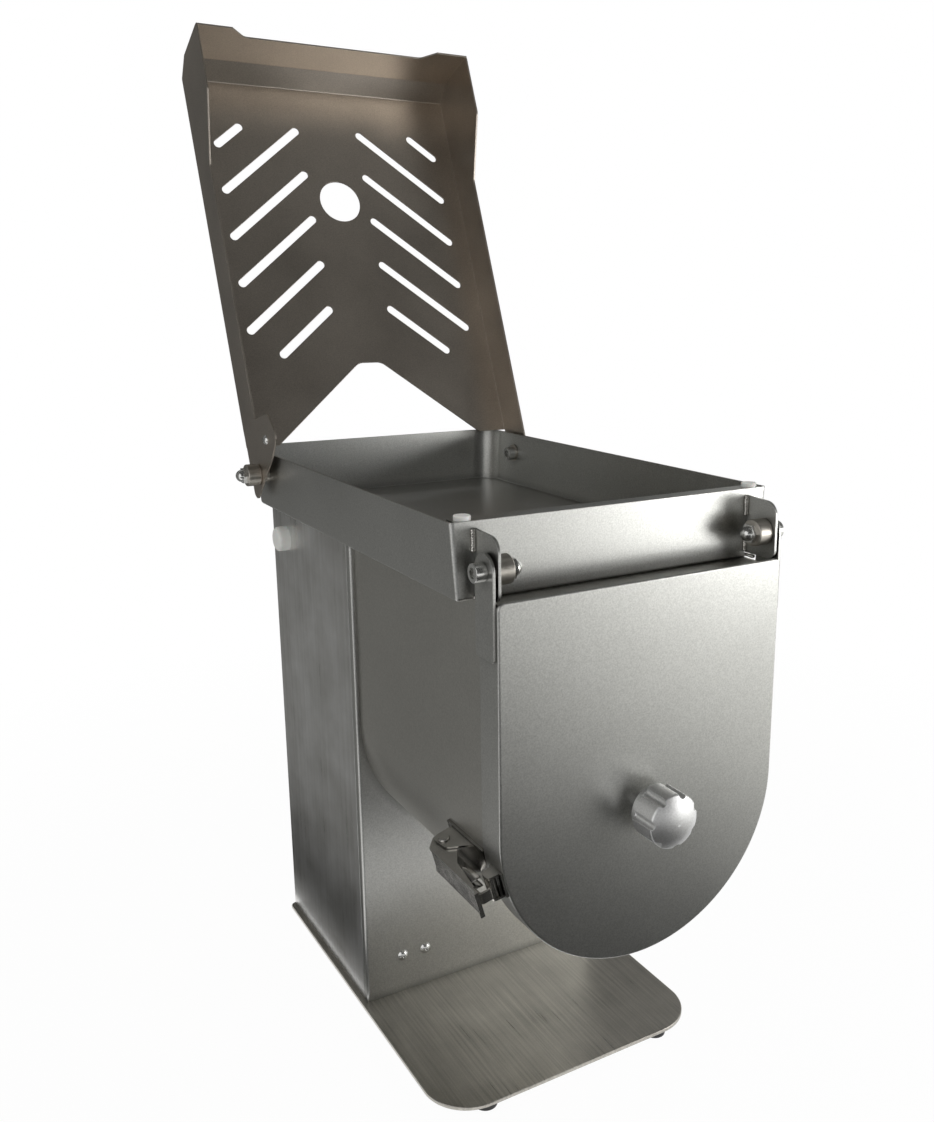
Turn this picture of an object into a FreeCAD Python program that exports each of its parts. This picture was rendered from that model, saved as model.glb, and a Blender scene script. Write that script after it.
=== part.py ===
import FreeCAD, Part
import math
import os

from FreeCAD import Vector

os.makedirs("parts", exist_ok=True)

# Millimetres. The table is z = 0, the mixer faces -Y, x = 0 is its middle plane.

# Clearances
RUN = 0.05  # radial play of a shaft in its hole
SLIDE = 0.1  # play between faces that pass each other
REST = 0.1  # play at a stop

# Sheet metal
sheet = 1.5
bend = 2.5
weld_gap = 0.8

# Base plate and feet
foot_height = 7.0
foot_radius = 11.0
foot_inset_x = 41.0
foot_inset_y = 13.0
base_width = 250.0
base_length = 366.0
base_thick = 3.0
base_front_radius = 40.0
base_rear_radius = 6.0

# Column
column_width = 240.0
column_depth = 198.0
column_height = 426.0
column_bend = 2.5
front_return = 7.0
seam_strap_depth = 24.0
hatch_width = 170.0
hatch_height = 300.0
hatch_z = 60.0
hatch_lap = 12.0
louvre_count = 7
louvre_pitch = 16.0
louvre_length = 90.0
louvre_slot = 4.0

# Tray above the trough
tray_width = 267.0
tray_front_y = -226.0
tray_back_y = 206.0
tray_height = 53.0
tray_flare = 4.0
tray_front_radius = 3.0
tray_back_radius = 22.0
tray_foot_bend = 2.5
hem_depth = 13.0

# Trough
axis_drop = 159.0
trough_radius = 116.0
trough_front_y = -256.5

# Door
door_side_play = 1.0
door_depth = 25.0
door_over_tray = 6.0
door_edge_radius = 1.4
gasket_thick = 2.5
gasket_width = 9.0
hinge_y = -246.0
hinge_rise = 24.0
strap_thick = 2.0
strap_width = 24.0
strap_end_drop = 58.0
bracket_thick = 2.0
bracket_play = 0.6
bracket_top = 24.0
bracket_bottom = 19.5
bracket_front = 12.0

# Pivot hardware, shared by the door and the lid
screw_radius = 4.0
screw_head_radius = 6.5
screw_head_length = 8.0
socket_radius = 3.4
socket_depth = 4.0
bushing_radius = 10.0
bushing_length = 12.0
bushing_edge = 1.0
spacer_radius = 8.0
nut_flats = 13.0
nut_length = 6.5
dome_radius = 5.6

# Lid, measured from its pivot: u towards the lid's front, n downwards when closed
lid_width = 279.8
lid_pivot_y = 152.0
lid_pivot_height = 33.0
lid_lean = 21.9
lid_rise = 24.7
lid_length = 416.0
chamfer_run = 12.6
chamfer_drop = 20.4
flange_middle = 36.0
flange_corner = 48.2
corner_tab_inner = 106.0
corner_tab_ramp = 14.0
side_flange = 14.7
side_widen_u = 294.0
side_widened_u = 353.0
notch_apex_u = 111.0
notch_flat = 12.0
notch_slope = 39.5
slot_width = 8.2
slot_slope = 39.5
slot_outer_x = 116.0
slot_inner_x = 33.5
slot_first_u = 98.8
slot_pitch = 47.8
slot_count = 6
slot_last_u = 357.0
slot_first_outer_x = 88.0
pour_hole_u = 283.0
pour_hole_radius = 21.5
ear_drop = 68.0
ear_length = 48.0
ear_screw_u = 22.0
ear_screw_n = 38.0
bumper_radius = 5.8
bumper_x = 121.5
bumper_stem_radius = 2.5
magnet_radius = 7.0
magnet_length = 2.2

# Safety switch nub on the column
nub_y = 142.5
nub_drop = 27.4
nub_radius = 11.5
nub_length = 11.0

# Paddle and drive
shaft_radius = 12.5
shaft_front_y = -232.0
hub_radius = 17.0
hub_length = 26.0
arm_radius = 6.0
paddle_radius = 104.0
blade_height = 44.0
blade_width = 34.0
blade_thick = 4.0
blade_pitch = 35.0
arm_count = 4
arm_first_y = -56.0
arm_pitch = 47.0
tongue_length = 14.0
tongue_thick = 10.0
drive_radius = 10.0
seal_radius = 28.0
seal_length = 6.0
gearbox_width = 110.0
gearbox_depth = 88.0
gearbox_height = 118.0
mount_margin = 20.0
mount_half_height = 80.0
stand_radius = 8.0
stand_inset = 10.0
stand_half_pitch = 44.0
terminal_half_width = 35.0
terminal_depth = 20.0
terminal_top_drop = 40.0
terminal_height = 70.0
terminal_neck_half_width = 20.0
terminal_neck_inset = 10.0
motor_setback = 22.0
gearbox_front_y = 8.0
motor_radius = 62.0
fan_clearance = 24.0
fan_cover_length = 34.0
mount_thick = 4.0
foot_half = 94.0
foot_sheet = 3.0
foot_reach = 60.0
foot_top = 84.0
front_screw_inner = 62.0
front_screw_outer = 84.4
front_screw_z = 46.0

# Knob on the door
knob_radius = 20.0
knob_length = 27.0
knob_dome = 6.0
knob_groove_count = 7
knob_groove_radius = 3.4
collar_radius = 18.0
collar_length = 4.0
spindle_radius = 8.0
spindle_length = 8.0
boss_radius = 15.0
boss_length = 8.0
knob_pin_radius = 6.0
nose_radius = 4.5
nose_length = 12.0
nose_play = 1.2

# Latches
latch_angle = 15.0
latch_pivot_y = -195.0
latch_pivot_n = 13.0
latch_crank = 7.0
lever_width = 19.5
lever_panel_n = 23.5
lever_front_y = -257.0
lever_lip = 3.0
ear_thick = 1.5
latch_base_front_y = -232.0
latch_base_back_y = -178.0
latch_base_half = 13.0
rivet_radius = 2.5
rivet_head = 4.0
crank_pin_radius = 2.0
bail_width = 8.0
bail_thick = 2.0
bail_eye_radius = 3.6
bail_throw = 6.0
hook_depth = 7.0
roller_radius = 4.0
roller_y = -252.0
roller_n = 9.0
keeper_half = 8.0

# Controls on the right side of the column
panel_y = 70.0
panel_drop = 106.0
panel_width = 56.0
panel_height = 104.0
button_radius = 11.0
button_pitch = 46.0
button_travel = 4.0
bezel_radius = 15.0
gland_z = 34.0
gland_x = -70.0

# Derived places
base_z = foot_height
floor_z = base_z + base_thick
base_front_y = -base_length / 2
base_back_y = base_length / 2
column_back_y = base_back_y
column_front_y = column_back_y - column_depth
tray_z = floor_z + column_height
tray_top = tray_z + tray_height
axis_z = tray_z - axis_drop
hinge_z = tray_z + hinge_rise
strap_end_z = hinge_z - strap_end_drop
lid_pivot_z = tray_z + lid_pivot_height
nub_z = tray_z - nub_drop
panel_z = tray_z - panel_drop
trough_inner = trough_radius - sheet
door_inner = trough_radius + door_side_play
door_radius = door_inner + sheet
door_inner_y = trough_front_y - gasket_thick - REST
door_front_y = door_inner_y - sheet
door_back_y = door_front_y + door_depth
door_top = tray_z + door_over_tray
lid_half = lid_width / 2
bumper_height = lid_pivot_z + lid_rise - sheet - REST - tray_top
closed_angle = 90.0 + lid_lean
lean = math.radians(lid_lean)
plate_rear_u = (tray_top + 5 * REST - lid_pivot_z + lid_rise * math.sin(lean)) / math.cos(lean)
mixer_axis = Vector(0, 0, axis_z)


nodes = {}


def save(name, *shapes):
    """Keep one node, made of its separate solids."""
    solids = [solid.copy() for shape in shapes for solid in shape.Solids]
    nodes[name] = solids[0] if len(solids) == 1 else Part.makeCompound(solids)


def box(x0, x1, y0, y1, z0, z1):
    return Part.makeBox(x1 - x0, y1 - y0, z1 - z0, Vector(x0, y0, z0))


def rod(radius, start, end):
    """A round bar between two points."""
    line = Vector(*end) - Vector(*start)
    return Part.makeCylinder(radius, line.Length, Vector(*start), line)


def cone(radius, end_radius, start, end):
    line = Vector(*end) - Vector(*start)
    return Part.makeCone(radius, end_radius, line.Length, Vector(*start), line)


def mirrored(shape):
    return shape.mirror(Vector(0, 0, 0), Vector(1, 0, 0))


def both_sides(shape):
    return [shape, mirrored(shape)]


def outline(points, plane, level):
    """A closed wire through (a, b, corner radius) points in the xy, xz or yz plane."""
    maps = {
        "xy": lambda a, b: Vector(a, b, level),
        "xz": lambda a, b: Vector(a, level, b),
        "yz": lambda a, b: Vector(level, a, b),
    }
    place = maps[plane]
    runs = []
    for index, (a, b, radius) in enumerate(points):
        here = place(a, b)
        before = place(*points[index - 1][:2])
        after = place(*points[(index + 1) % len(points)][:2])
        if radius == 0:
            runs.append((here, here, None))
            continue
        inward = (before - here).normalize()
        onward = (after - here).normalize()
        half = inward.getAngle(onward) / 2
        reach = radius / math.tan(half)
        middle = (inward + onward).normalize()
        tip = here + middle * (radius / math.sin(half) - radius)
        runs.append((here + inward * reach, here + onward * reach, tip))
    edges = []
    for index, (start, end, tip) in enumerate(runs):
        if tip is not None:
            edges.append(Part.Arc(start, tip, end).toShape())
        following = runs[(index + 1) % len(runs)][0]
        if (following - end).Length > 1e-6:
            edges.append(Part.LineSegment(end, following).toShape())
    return Part.Wire(edges)


def prism(points, plane, level, depth):
    """A solid with a rounded polygon as its outline, from level to level + depth."""
    direction = {"xy": Vector(0, 0, depth), "xz": Vector(0, depth, 0), "yz": Vector(depth, 0, 0)}
    return Part.Face(outline(points, plane, level)).extrude(direction[plane])


def rectangle(a0, a1, b0, b1, radius=0.0):
    return [(a0, b0, radius), (a1, b0, radius), (a1, b1, radius), (a0, b1, radius)]


def u_outline(radius, top, corner=0.0):
    """The half-round outline of the trough: straight sides and a round bottom."""
    circle = mixer_axis + Vector(0, 0, -radius)
    left = Vector(-radius, 0, axis_z)
    right = Vector(radius, 0, axis_z)
    edges = [Part.Arc(left, circle, right).toShape()]
    if corner == 0:
        corners = [right, Vector(radius, 0, top), Vector(-radius, 0, top), left]
        edges += [Part.LineSegment(a, b).toShape() for a, b in zip(corners, corners[1:])]
        return Part.Wire(edges)
    slant = corner * (1 - math.sqrt(0.5))
    right_low = Vector(radius, 0, top - corner)
    right_high = Vector(radius - corner, 0, top)
    left_high = Vector(corner - radius, 0, top)
    left_low = Vector(-radius, 0, top - corner)
    edges.append(Part.LineSegment(right, right_low).toShape())
    edges.append(Part.Arc(right_low, Vector(radius - slant, 0, top - slant), right_high).toShape())
    edges.append(Part.LineSegment(right_high, left_high).toShape())
    edges.append(Part.Arc(left_high, Vector(slant - radius, 0, top - slant), left_low).toShape())
    edges.append(Part.LineSegment(left_low, left).toShape())
    return Part.Wire(edges)


def u_block(radius, top, y0, y1, corner=0.0):
    wire = u_outline(radius, top, corner)
    wire.translate(Vector(0, y0, 0))
    return Part.Face(wire).extrude(Vector(0, y1 - y0, 0))


def hexagon(flats, centre, y_or_x, length, along):
    """A six-sided bar along x, y or z."""
    radius = flats / math.sqrt(3)
    turns = [math.radians(60 * step) for step in range(6)]
    corners = [(centre[0] + radius * math.cos(t), centre[1] + radius * math.sin(t), 0) for t in turns]
    return prism(corners, {"x": "yz", "y": "xz", "z": "xy"}[along], y_or_x, length)


def pivot_screw(x_head, x_end, y, z):
    """A socket head cap screw along x; the head grows away from x_head."""
    way = 1 if x_head > x_end else -1
    head = rod(screw_head_radius, (x_head, y, z), (x_head + way * screw_head_length, y, z))
    head = head.makeFillet(0.5, [edge for edge in head.Edges if edge.Closed and edge.Curve.Radius > 6])
    shank = rod(screw_radius, (x_head, y, z), (x_end, y, z))
    deep = x_head + way * (screw_head_length - socket_depth)
    top = x_head + way * screw_head_length
    socket = hexagon(2 * socket_radius, (y, z), min(deep, top), abs(top - deep), "x")
    return head.fuse(shank).removeSplitter().cut(socket)


def dome_nut(x_face, way, y, z, thread_end):
    """A hexagon cap nut whose face sits at x_face; way is the side that the dome is on."""
    length = nut_length * 0.55
    body = hexagon(nut_flats, (y, z), min(x_face, x_face + way * length), length, "x")
    ball = Part.makeSphere(dome_radius, Vector(x_face + way * length, y, z))
    far = x_face + way * length
    half = box(min(far, far + way * 20), max(far, far + way * 20), y - 20, y + 20, z - 20, z + 20)
    bore = rod(screw_radius, (x_face - way, y, z), (thread_end, y, z))
    return body.fuse(ball.common(half)).cut(bore)


def ring(outer, inner, x0, x1, y, z, edge=0.0):
    """A sleeve along x with softened outer edges."""
    body = rod(outer, (x0, y, z), (x1, y, z))
    if edge:
        body = body.makeFillet(edge, [item for item in body.Edges if item.Closed])
    return body.cut(rod(inner, (x0 - 1, y, z), (x1 + 1, y, z)))


def button_screw(x, y, z, direction, length, radius=3.0, head_radius=5.25, head=3.0):
    """A dome head screw whose seat is at (x, y, z); direction points out of the seat."""
    out = Vector(*direction)
    seat = Vector(x, y, z)
    shank = Part.makeCylinder(radius, length, seat, out * -1)
    ball_radius = (head_radius**2 + head**2) / (2 * head)
    ball = Part.makeSphere(ball_radius, seat + out * (head - ball_radius))
    cap = ball.common(Part.makeCylinder(head_radius, head, seat, out))
    socket = Part.makeCylinder(1.7, 1.8, seat + out * (head - 1.8), out)
    return cap.fuse(shank).removeSplitter().cut(socket)


# Base plate
base_corners = [
    (-base_width / 2, base_front_y, base_front_radius),
    (base_width / 2, base_front_y, base_front_radius),
    (base_width / 2, base_back_y, base_rear_radius),
    (-base_width / 2, base_back_y, base_rear_radius),
]
base_plate = prism(base_corners, "xy", base_z, base_thick)
rim_edges = [e for e in base_plate.Edges if e.BoundBox.ZMin > base_z + base_thick - 0.01]
base_plate = base_plate.makeFillet(1.2, rim_edges)
foot_places = [
    (side * (base_width / 2 - foot_inset_x), y)
    for side in (-1, 1)
    for y in (base_front_y + foot_inset_y, base_back_y - foot_inset_x)
]
feet = []
foot_screws = []
for x, y in foot_places:
    foot = cone(foot_radius - 1.5, foot_radius, (x, y, 0), (x, y, base_z))
    foot_bore = rod(2.5, (x, y, -1), (x, y, base_z + 1)).fuse(rod(5.0, (x, y, -1), (x, y, 3)))
    feet.append(foot.cut(foot_bore))
    screw = rod(2.5, (x, y, 3), (x, y, base_z + base_thick - 0.5)).fuse(rod(4.9, (x, y, 1.2), (x, y, 3)))
    slot = box(x - 4, x + 4, y - 0.6, y + 0.6, 1.2, 2.0)
    foot_screws.append(screw.cut(slot).removeSplitter())
    base_plate = base_plate.cut(rod(2.5, (x, y, base_z - 1), (x, y, base_z + base_thick - 0.5)))

# Column panels
half = column_width / 2
seam_y = column_front_y + front_return
front_outer = [
    (-half, seam_y, 0),
    (-half, column_front_y, column_bend),
    (half, column_front_y, column_bend),
    (half, seam_y, 0),
]
front_inner = [
    (-half + sheet, seam_y, 0),
    (-half + sheet, column_front_y + sheet, column_bend - sheet),
    (half - sheet, column_front_y + sheet, column_bend - sheet),
    (half - sheet, seam_y, 0),
]
column_front = prism(front_outer, "xy", floor_z, column_height)
column_front = column_front.cut(prism(front_inner, "xy", floor_z - 1, column_height + 2))
shell_front_y = seam_y + weld_gap
shell_outer = [
    (-half, shell_front_y, 0),
    (half, shell_front_y, 0),
    (half, column_back_y, column_bend),
    (-half, column_back_y, column_bend),
]
shell_inner = [
    (-half + sheet, shell_front_y - 1, 0),
    (half - sheet, shell_front_y - 1, 0),
    (half - sheet, column_back_y - sheet, column_bend - sheet),
    (-half + sheet, column_back_y - sheet, column_bend - sheet),
]
column_shell = prism(shell_outer, "xy", floor_z, column_height)
column_shell = column_shell.cut(prism(shell_inner, "xy", floor_z - 1, column_height + 2))
strap_back_y = column_front_y + sheet + seam_strap_depth
seam_strap = box(
    half - 2 * sheet, half - sheet, column_front_y + column_bend, strap_back_y, floor_z, tray_z
)

# Rear hatch with louvres
hatch_half = hatch_width / 2
hatch_hole = rectangle(-hatch_half, hatch_half, hatch_z, hatch_z + hatch_height, 8)
column_shell = column_shell.cut(prism(hatch_hole, "xz", column_back_y - 5, 10))
hatch_plate = rectangle(
    -hatch_half - hatch_lap,
    hatch_half + hatch_lap,
    hatch_z - hatch_lap,
    hatch_z + hatch_height + hatch_lap,
    10,
)
rear_hatch = prism(hatch_plate, "xz", column_back_y, sheet)
for index in range(louvre_count):
    z = hatch_z + 28 + index * louvre_pitch
    slot = rectangle(-louvre_length / 2, louvre_length / 2, z, z + louvre_slot, louvre_slot / 2 - 0.01)
    rear_hatch = rear_hatch.cut(prism(slot, "xz", column_back_y - 1, 5))
hatch_screws = []
hatch_screw_x = hatch_half + hatch_lap / 2
for side in (-1, 1):
    for level in (0.08, 0.5, 0.92):
        z = hatch_z + hatch_height * level
        seat = column_back_y + sheet
        hatch_screws.append(button_screw(side * hatch_screw_x, seat, z, (0, 1, 0), 5.0, 2.0, 3.8, 2.2))
        hole = rod(2.0, (side * hatch_screw_x, seat - 9, z), (side * hatch_screw_x, seat + 9, z))
        rear_hatch = rear_hatch.cut(hole)
        column_shell = column_shell.cut(hole)

# Tray: upright front wall, flared side and back walls, flat floor
def tray_wire(spread, inset, z):
    """Plan outline of the tray's walls at height z."""
    x = tray_width / 2 - tray_flare + spread - inset
    front = tray_front_y + inset
    back = tray_back_y - tray_flare + spread - inset
    front_radius = max(tray_front_radius - inset, 0.5)
    back_radius = tray_back_radius - inset
    corners = [
        (-x, front, front_radius),
        (x, front, front_radius),
        (x, back, back_radius),
        (-x, back, back_radius),
    ]
    return outline(corners, "xy", z)


tray_outer = Part.makeLoft([tray_wire(0, 0, tray_z), tray_wire(tray_flare, 0, tray_top)], True, True)
low_edges = [e for e in tray_outer.Edges if e.BoundBox.ZMax < tray_z + 0.01]
tray_outer = tray_outer.makeFillet(tray_foot_bend, low_edges)
inner_spread = tray_flare * sheet / tray_height
tray_inner = Part.makeLoft(
    [tray_wire(inner_spread, sheet, tray_z + sheet), tray_wire(tray_flare, sheet, tray_top)], True, True
)
low_edges = [e for e in tray_inner.Edges if e.BoundBox.ZMax < tray_z + sheet + 0.01]
tray_inner = tray_inner.makeFillet(tray_foot_bend - sheet, low_edges)
hopper_tray = tray_outer.cut(tray_inner)
hem_half = tray_width / 2 - 4
hem = box(-hem_half, hem_half, tray_front_y + 1, tray_front_y + hem_depth, tray_top - sheet, tray_top)
hopper_tray = hopper_tray.fuse(hem.common(tray_outer)).removeSplitter()
mouth_front_y = tray_front_y + tray_foot_bend + 1
mouth = box(-trough_inner, trough_inner, mouth_front_y, column_front_y - sheet, tray_z - 1, tray_z + 9)
hopper_tray = hopper_tray.cut(mouth)

# Trough: half-round shell with a back wall and a bridge strip under the tray's front edge
trough = u_block(trough_radius, tray_z, trough_front_y, column_front_y)
trough = trough.cut(u_block(trough_inner, tray_z + 5, trough_front_y - 1, column_front_y - sheet))
bridge = box(-trough_inner - 0.5, trough_inner + 0.5, trough_front_y, mouth_front_y, tray_z - sheet, tray_z)
trough_shell = trough.fuse(bridge).removeSplitter()

# Safety switch nub on the left side of the column
nub_body = rod(nub_radius, (-half, nub_y, nub_z), (-half - nub_length, nub_y, nub_z))
nub_body = nub_body.makeFillet(3.5, [e for e in nub_body.Edges if e.Closed and e.BoundBox.XMax < -half - 5])
nub_stem = rod(6.0, (-half, nub_y, nub_z), (-half + 24, nub_y, nub_z))
safety_nub = nub_body.fuse(nub_stem).removeSplitter()
column_shell = column_shell.cut(rod(6.0, (-half - 5, nub_y, nub_z), (-half + 24, nub_y, nub_z)))
nub_nut = hexagon(19.0, (nub_y, nub_z), -half + sheet, 5.0, "x")
nub_nut = nub_nut.cut(rod(6.0, (-half - 5, nub_y, nub_z), (-half + 24, nub_y, nub_z)))

# Door: a shallow pan, open at the top, that closes over the trough's front edge
door = u_block(door_radius, door_top, door_front_y, door_back_y, 5.0)
front_edges = [e for e in door.Edges if e.BoundBox.YMax < door_front_y + 0.01]
door = door.makeFillet(door_edge_radius, front_edges)
door = door.cut(u_block(door_inner, door_top + 1, door_inner_y, door_back_y + 1))
pin_bore = rod(knob_pin_radius + RUN, (0, door_front_y - 5, axis_z), (0, door_back_y + 20, axis_z))
door_panel = door.cut(pin_bore)
seal_outer = u_block(trough_radius, tray_z, door_inner_y, door_inner_y + gasket_thick)
seal_inner = u_block(
    trough_radius - gasket_width, tray_z - gasket_width, door_inner_y - 1, door_inner_y + gasket_thick + 1
)
door_gasket = seal_outer.cut(seal_inner)
boss = rod(boss_radius, (0, door_inner_y, axis_z), (0, door_inner_y + boss_length, axis_z))
door_boss = boss.cut(pin_bore)

# Door hinge: a strap on each side of the door, a bracket on each side of the tray
strap_x = door_radius
low_front = hinge_y - strap_width / 2
strap_points = [
    (low_front, strap_end_z, 2),
    (hinge_y + strap_width / 2, strap_end_z, 2),
    (hinge_y + strap_width / 2, hinge_z + strap_width / 2, strap_width / 2 - 0.01),
    (low_front, hinge_z + strap_width / 2, strap_width / 2 - 0.01),
]
strap = prism(strap_points, "yz", strap_x, strap_thick)
strap = strap.cut(rod(screw_radius + RUN, (strap_x - 5, hinge_y, hinge_z), (strap_x + 9, hinge_y, hinge_z)))
bracket_x = door_inner - bracket_play - bracket_thick
bracket_points = [
    (hinge_y - bracket_front, hinge_z - bracket_bottom, 7),
    (tray_front_y + 1, hinge_z - bracket_bottom, 0),
    (tray_front_y + 1, hinge_z + bracket_top, 0),
    (hinge_y - bracket_front, hinge_z + bracket_top - 1.5, 11),
]
bracket = prism(bracket_points, "yz", bracket_x, bracket_thick).cut(tray_outer)
bracket_outer_x = bracket_x + bracket_thick
hinge_bore = rod(screw_radius, (bracket_x - 40, hinge_y, hinge_z), (strap_x + 20, hinge_y, hinge_z))
bracket = bracket.cut(hinge_bore)
hinge_spacer = ring(spacer_radius, screw_radius, bracket_outer_x, strap_x - SLIDE, hinge_y, hinge_z, 0.4)
hinge_bushing = ring(
    bushing_radius, screw_radius, bracket_x - bushing_length, bracket_x, hinge_y, hinge_z, bushing_edge
)
hinge_head_x = strap_x + strap_thick + SLIDE
hinge_screw_end = bracket_x - bushing_length - nut_length
hinge_screw = pivot_screw(hinge_head_x, hinge_screw_end, hinge_y, hinge_z)
hinge_nut = dome_nut(bracket_x - bushing_length, -1, hinge_y, hinge_z, hinge_screw_end)

# Lid, built closed and then swung open
def lid_points(pairs):
    """(u, n, radius) from the lid's pivot turned into the yz plane of the closed lid."""
    return [(lid_pivot_y - u, lid_pivot_z - n, radius) for u, n, radius in pairs]


crease_u = lid_length - chamfer_run
fold_n = chamfer_drop - lid_rise
skin = lid_points(
    [
        (plate_rear_u, -lid_rise, 0),
        (crease_u, -lid_rise, bend),
        (lid_length, fold_n, bend),
        (lid_length, flange_corner, 0),
        (lid_length - sheet, flange_corner, 0),
        (lid_length - sheet, fold_n + 0.8, bend - sheet),
        (crease_u - 0.7, -lid_rise + sheet, bend - sheet),
        (plate_rear_u, -lid_rise + sheet, 0),
    ]
)
lid_skin = prism(skin, "yz", -lid_half + 0.2, 2 * lid_half - 0.4)
side_shape = lid_points(
    [
        (plate_rear_u + 16, -lid_rise, 0),
        (crease_u, -lid_rise, bend),
        (lid_length, fold_n, bend),
        (lid_length, flange_corner, 3),
        (side_widened_u, flange_corner, 6),
        (side_widen_u, side_flange, 6),
        (ear_length, side_flange, 3),
        (ear_length - 6, 54, 12),
        (16, ear_drop, 8),
        (3, 46, 30),
        (-20, -16, 6),
        (-14, -lid_rise + 2, 6),
        (plate_rear_u - 4, -lid_rise + 2, 3),
    ]
)
plain_shape = side_shape[:6] + lid_points([(4, side_flange, 6), (-10, side_flange - 3, 8)]) + side_shape[-3:]
lid_left = mirrored(prism(side_shape, "yz", lid_half - sheet, sheet))
lid_right = prism(plain_shape, "yz", lid_half - sheet, sheet)
lid_body = lid_skin.fuse([lid_left, lid_right])
inner_tab = corner_tab_inner - corner_tab_ramp
front_cut = [
    (-corner_tab_inner, lid_pivot_z - flange_corner - 5, 0),
    (-corner_tab_inner, lid_pivot_z - flange_corner, 0),
    (-inner_tab, lid_pivot_z - flange_middle, 8),
    (inner_tab, lid_pivot_z - flange_middle, 8),
    (corner_tab_inner, lid_pivot_z - flange_corner, 0),
    (corner_tab_inner, lid_pivot_z - flange_corner - 5, 0),
]
lid_front_y = lid_pivot_y - lid_length
lid_body = lid_body.cut(prism(front_cut, "xz", lid_front_y - 1, 6))
notch_rise = math.tan(math.radians(notch_slope))
notch_reach = notch_flat + (notch_apex_u - plate_rear_u + 6) / notch_rise
notch_points = [
    (-notch_reach, lid_pivot_y - plate_rear_u + 6, 0),
    (-notch_flat, lid_pivot_y - notch_apex_u, 14),
    (notch_flat, lid_pivot_y - notch_apex_u, 14),
    (notch_reach, lid_pivot_y - plate_rear_u + 6, 0),
]
lid_z = lid_pivot_z + lid_rise
lid_body = lid_body.cut(prism(notch_points, "xy", lid_z - 5, 10))
hole_y = lid_pivot_y - pour_hole_u
lid_body = lid_body.cut(rod(pour_hole_radius, (0, hole_y, lid_z - 5), (0, hole_y, lid_z + 5)))
slot_rise = math.tan(math.radians(slot_slope))
for index in range(slot_count):
    start_x = slot_first_outer_x if index == 0 else slot_outer_x
    base_u = slot_first_u + index * slot_pitch
    start_u = base_u + (slot_outer_x - start_x) * slot_rise
    end_u = min(base_u + (slot_outer_x - slot_inner_x) * slot_rise, slot_last_u)
    end_x = slot_outer_x - (end_u - base_u) / slot_rise
    start = Vector(start_x, lid_pivot_y - start_u, lid_z - 5)
    end = Vector(end_x, lid_pivot_y - end_u, lid_z - 5)
    across = (end - start).normalize().cross(Vector(0, 0, 1)) * (slot_width / 2)
    along = (end - start).normalize() * (slot_width / 2)
    edges = [
        Part.LineSegment(start + across, end + across).toShape(),
        Part.Arc(end + across, end + along, end - across).toShape(),
        Part.LineSegment(end - across, start - across).toShape(),
        Part.Arc(start - across, start - along, start + across).toShape(),
    ]
    slot = Part.Face(Part.Wire(edges)).extrude(Vector(0, 0, 10))
    lid_body = lid_body.cut([slot, mirrored(slot)])
pivot_hole = rod(screw_radius + RUN, (-500, lid_pivot_y, lid_pivot_z), (500, lid_pivot_y, lid_pivot_z))
ear_screw_y = lid_pivot_y - ear_screw_u
ear_screw_z = lid_pivot_z - ear_screw_n
lid_body = lid_body.cut(pivot_hole)
lid_body = lid_body.cut(rod(2.0, (-lid_half - 5, ear_screw_y, ear_screw_z), (0, ear_screw_y, ear_screw_z)))
magnet_x = -lid_half + sheet
magnet_end_x = magnet_x + magnet_length
magnet = rod(magnet_radius, (magnet_x, ear_screw_y, ear_screw_z), (magnet_end_x, ear_screw_y, ear_screw_z))
magnet = magnet.cut(rod(2.0, (-lid_half - 5, ear_screw_y, ear_screw_z), (0, ear_screw_y, ear_screw_z)))
magnet_screw = button_screw(
    -lid_half, ear_screw_y, ear_screw_z, (-1, 0, 0), sheet + magnet_length - 0.2, 2.0, 4.6, 3.0
)


def swung_open(shape):
    shape = shape.copy()
    shape.rotate(Vector(0, lid_pivot_y, lid_pivot_z), Vector(-1, 0, 0), closed_angle)
    return shape


# Lid pivots: a screw from inside the tray, a spacer, the lid's ear, a bushing and a cap nut
wall_share = (lid_pivot_z - tray_z) / tray_height
wall_inner_x = tray_width / 2 - tray_flare * (1 - wall_share) - sheet
pivot_seat_x = wall_inner_x - 0.6
ear_outer_x = lid_half + SLIDE
lid_screw_end = ear_outer_x + bushing_length + nut_length
lid_screw = pivot_screw(pivot_seat_x, lid_screw_end, lid_pivot_y, lid_pivot_z)
lid_pad = ring(spacer_radius + 1, screw_radius, pivot_seat_x, wall_inner_x + 2, lid_pivot_y, lid_pivot_z)
lid_pad = lid_pad.common(tray_inner)
lid_spacer = ring(
    spacer_radius, screw_radius, wall_inner_x, lid_half - sheet - SLIDE, lid_pivot_y, lid_pivot_z
).cut(tray_outer)
lid_bushing = ring(
    bushing_radius,
    screw_radius,
    ear_outer_x,
    ear_outer_x + bushing_length,
    lid_pivot_y,
    lid_pivot_z,
    bushing_edge,
)
lid_nut = dome_nut(ear_outer_x + bushing_length, 1, lid_pivot_y, lid_pivot_z, lid_screw_end)
wall_bore = rod(screw_radius, (-500, lid_pivot_y, lid_pivot_z), (500, lid_pivot_y, lid_pivot_z))
hopper_tray = hopper_tray.cut(wall_bore)

# Bumpers on the tray's front hem
bumper_y = tray_front_y + hem_depth / 2
bumper = rod(bumper_radius, (bumper_x, bumper_y, tray_top), (bumper_x, bumper_y, tray_top + bumper_height))
bumper = bumper.makeFillet(0.8, [e for e in bumper.Edges if e.Closed and e.BoundBox.ZMin > tray_top + 1])
stem = rod(bumper_stem_radius, (bumper_x, bumper_y, tray_top - sheet - 2), (bumper_x, bumper_y, tray_top))
bumper = bumper.fuse(stem).removeSplitter()
for side in (-1, 1):
    hem_x = side * bumper_x
    hem_hole = rod(bumper_stem_radius, (hem_x, bumper_y, tray_top - 9), (hem_x, bumper_y, tray_top + 9))
    hopper_tray = hopper_tray.cut(hem_hole)

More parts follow.
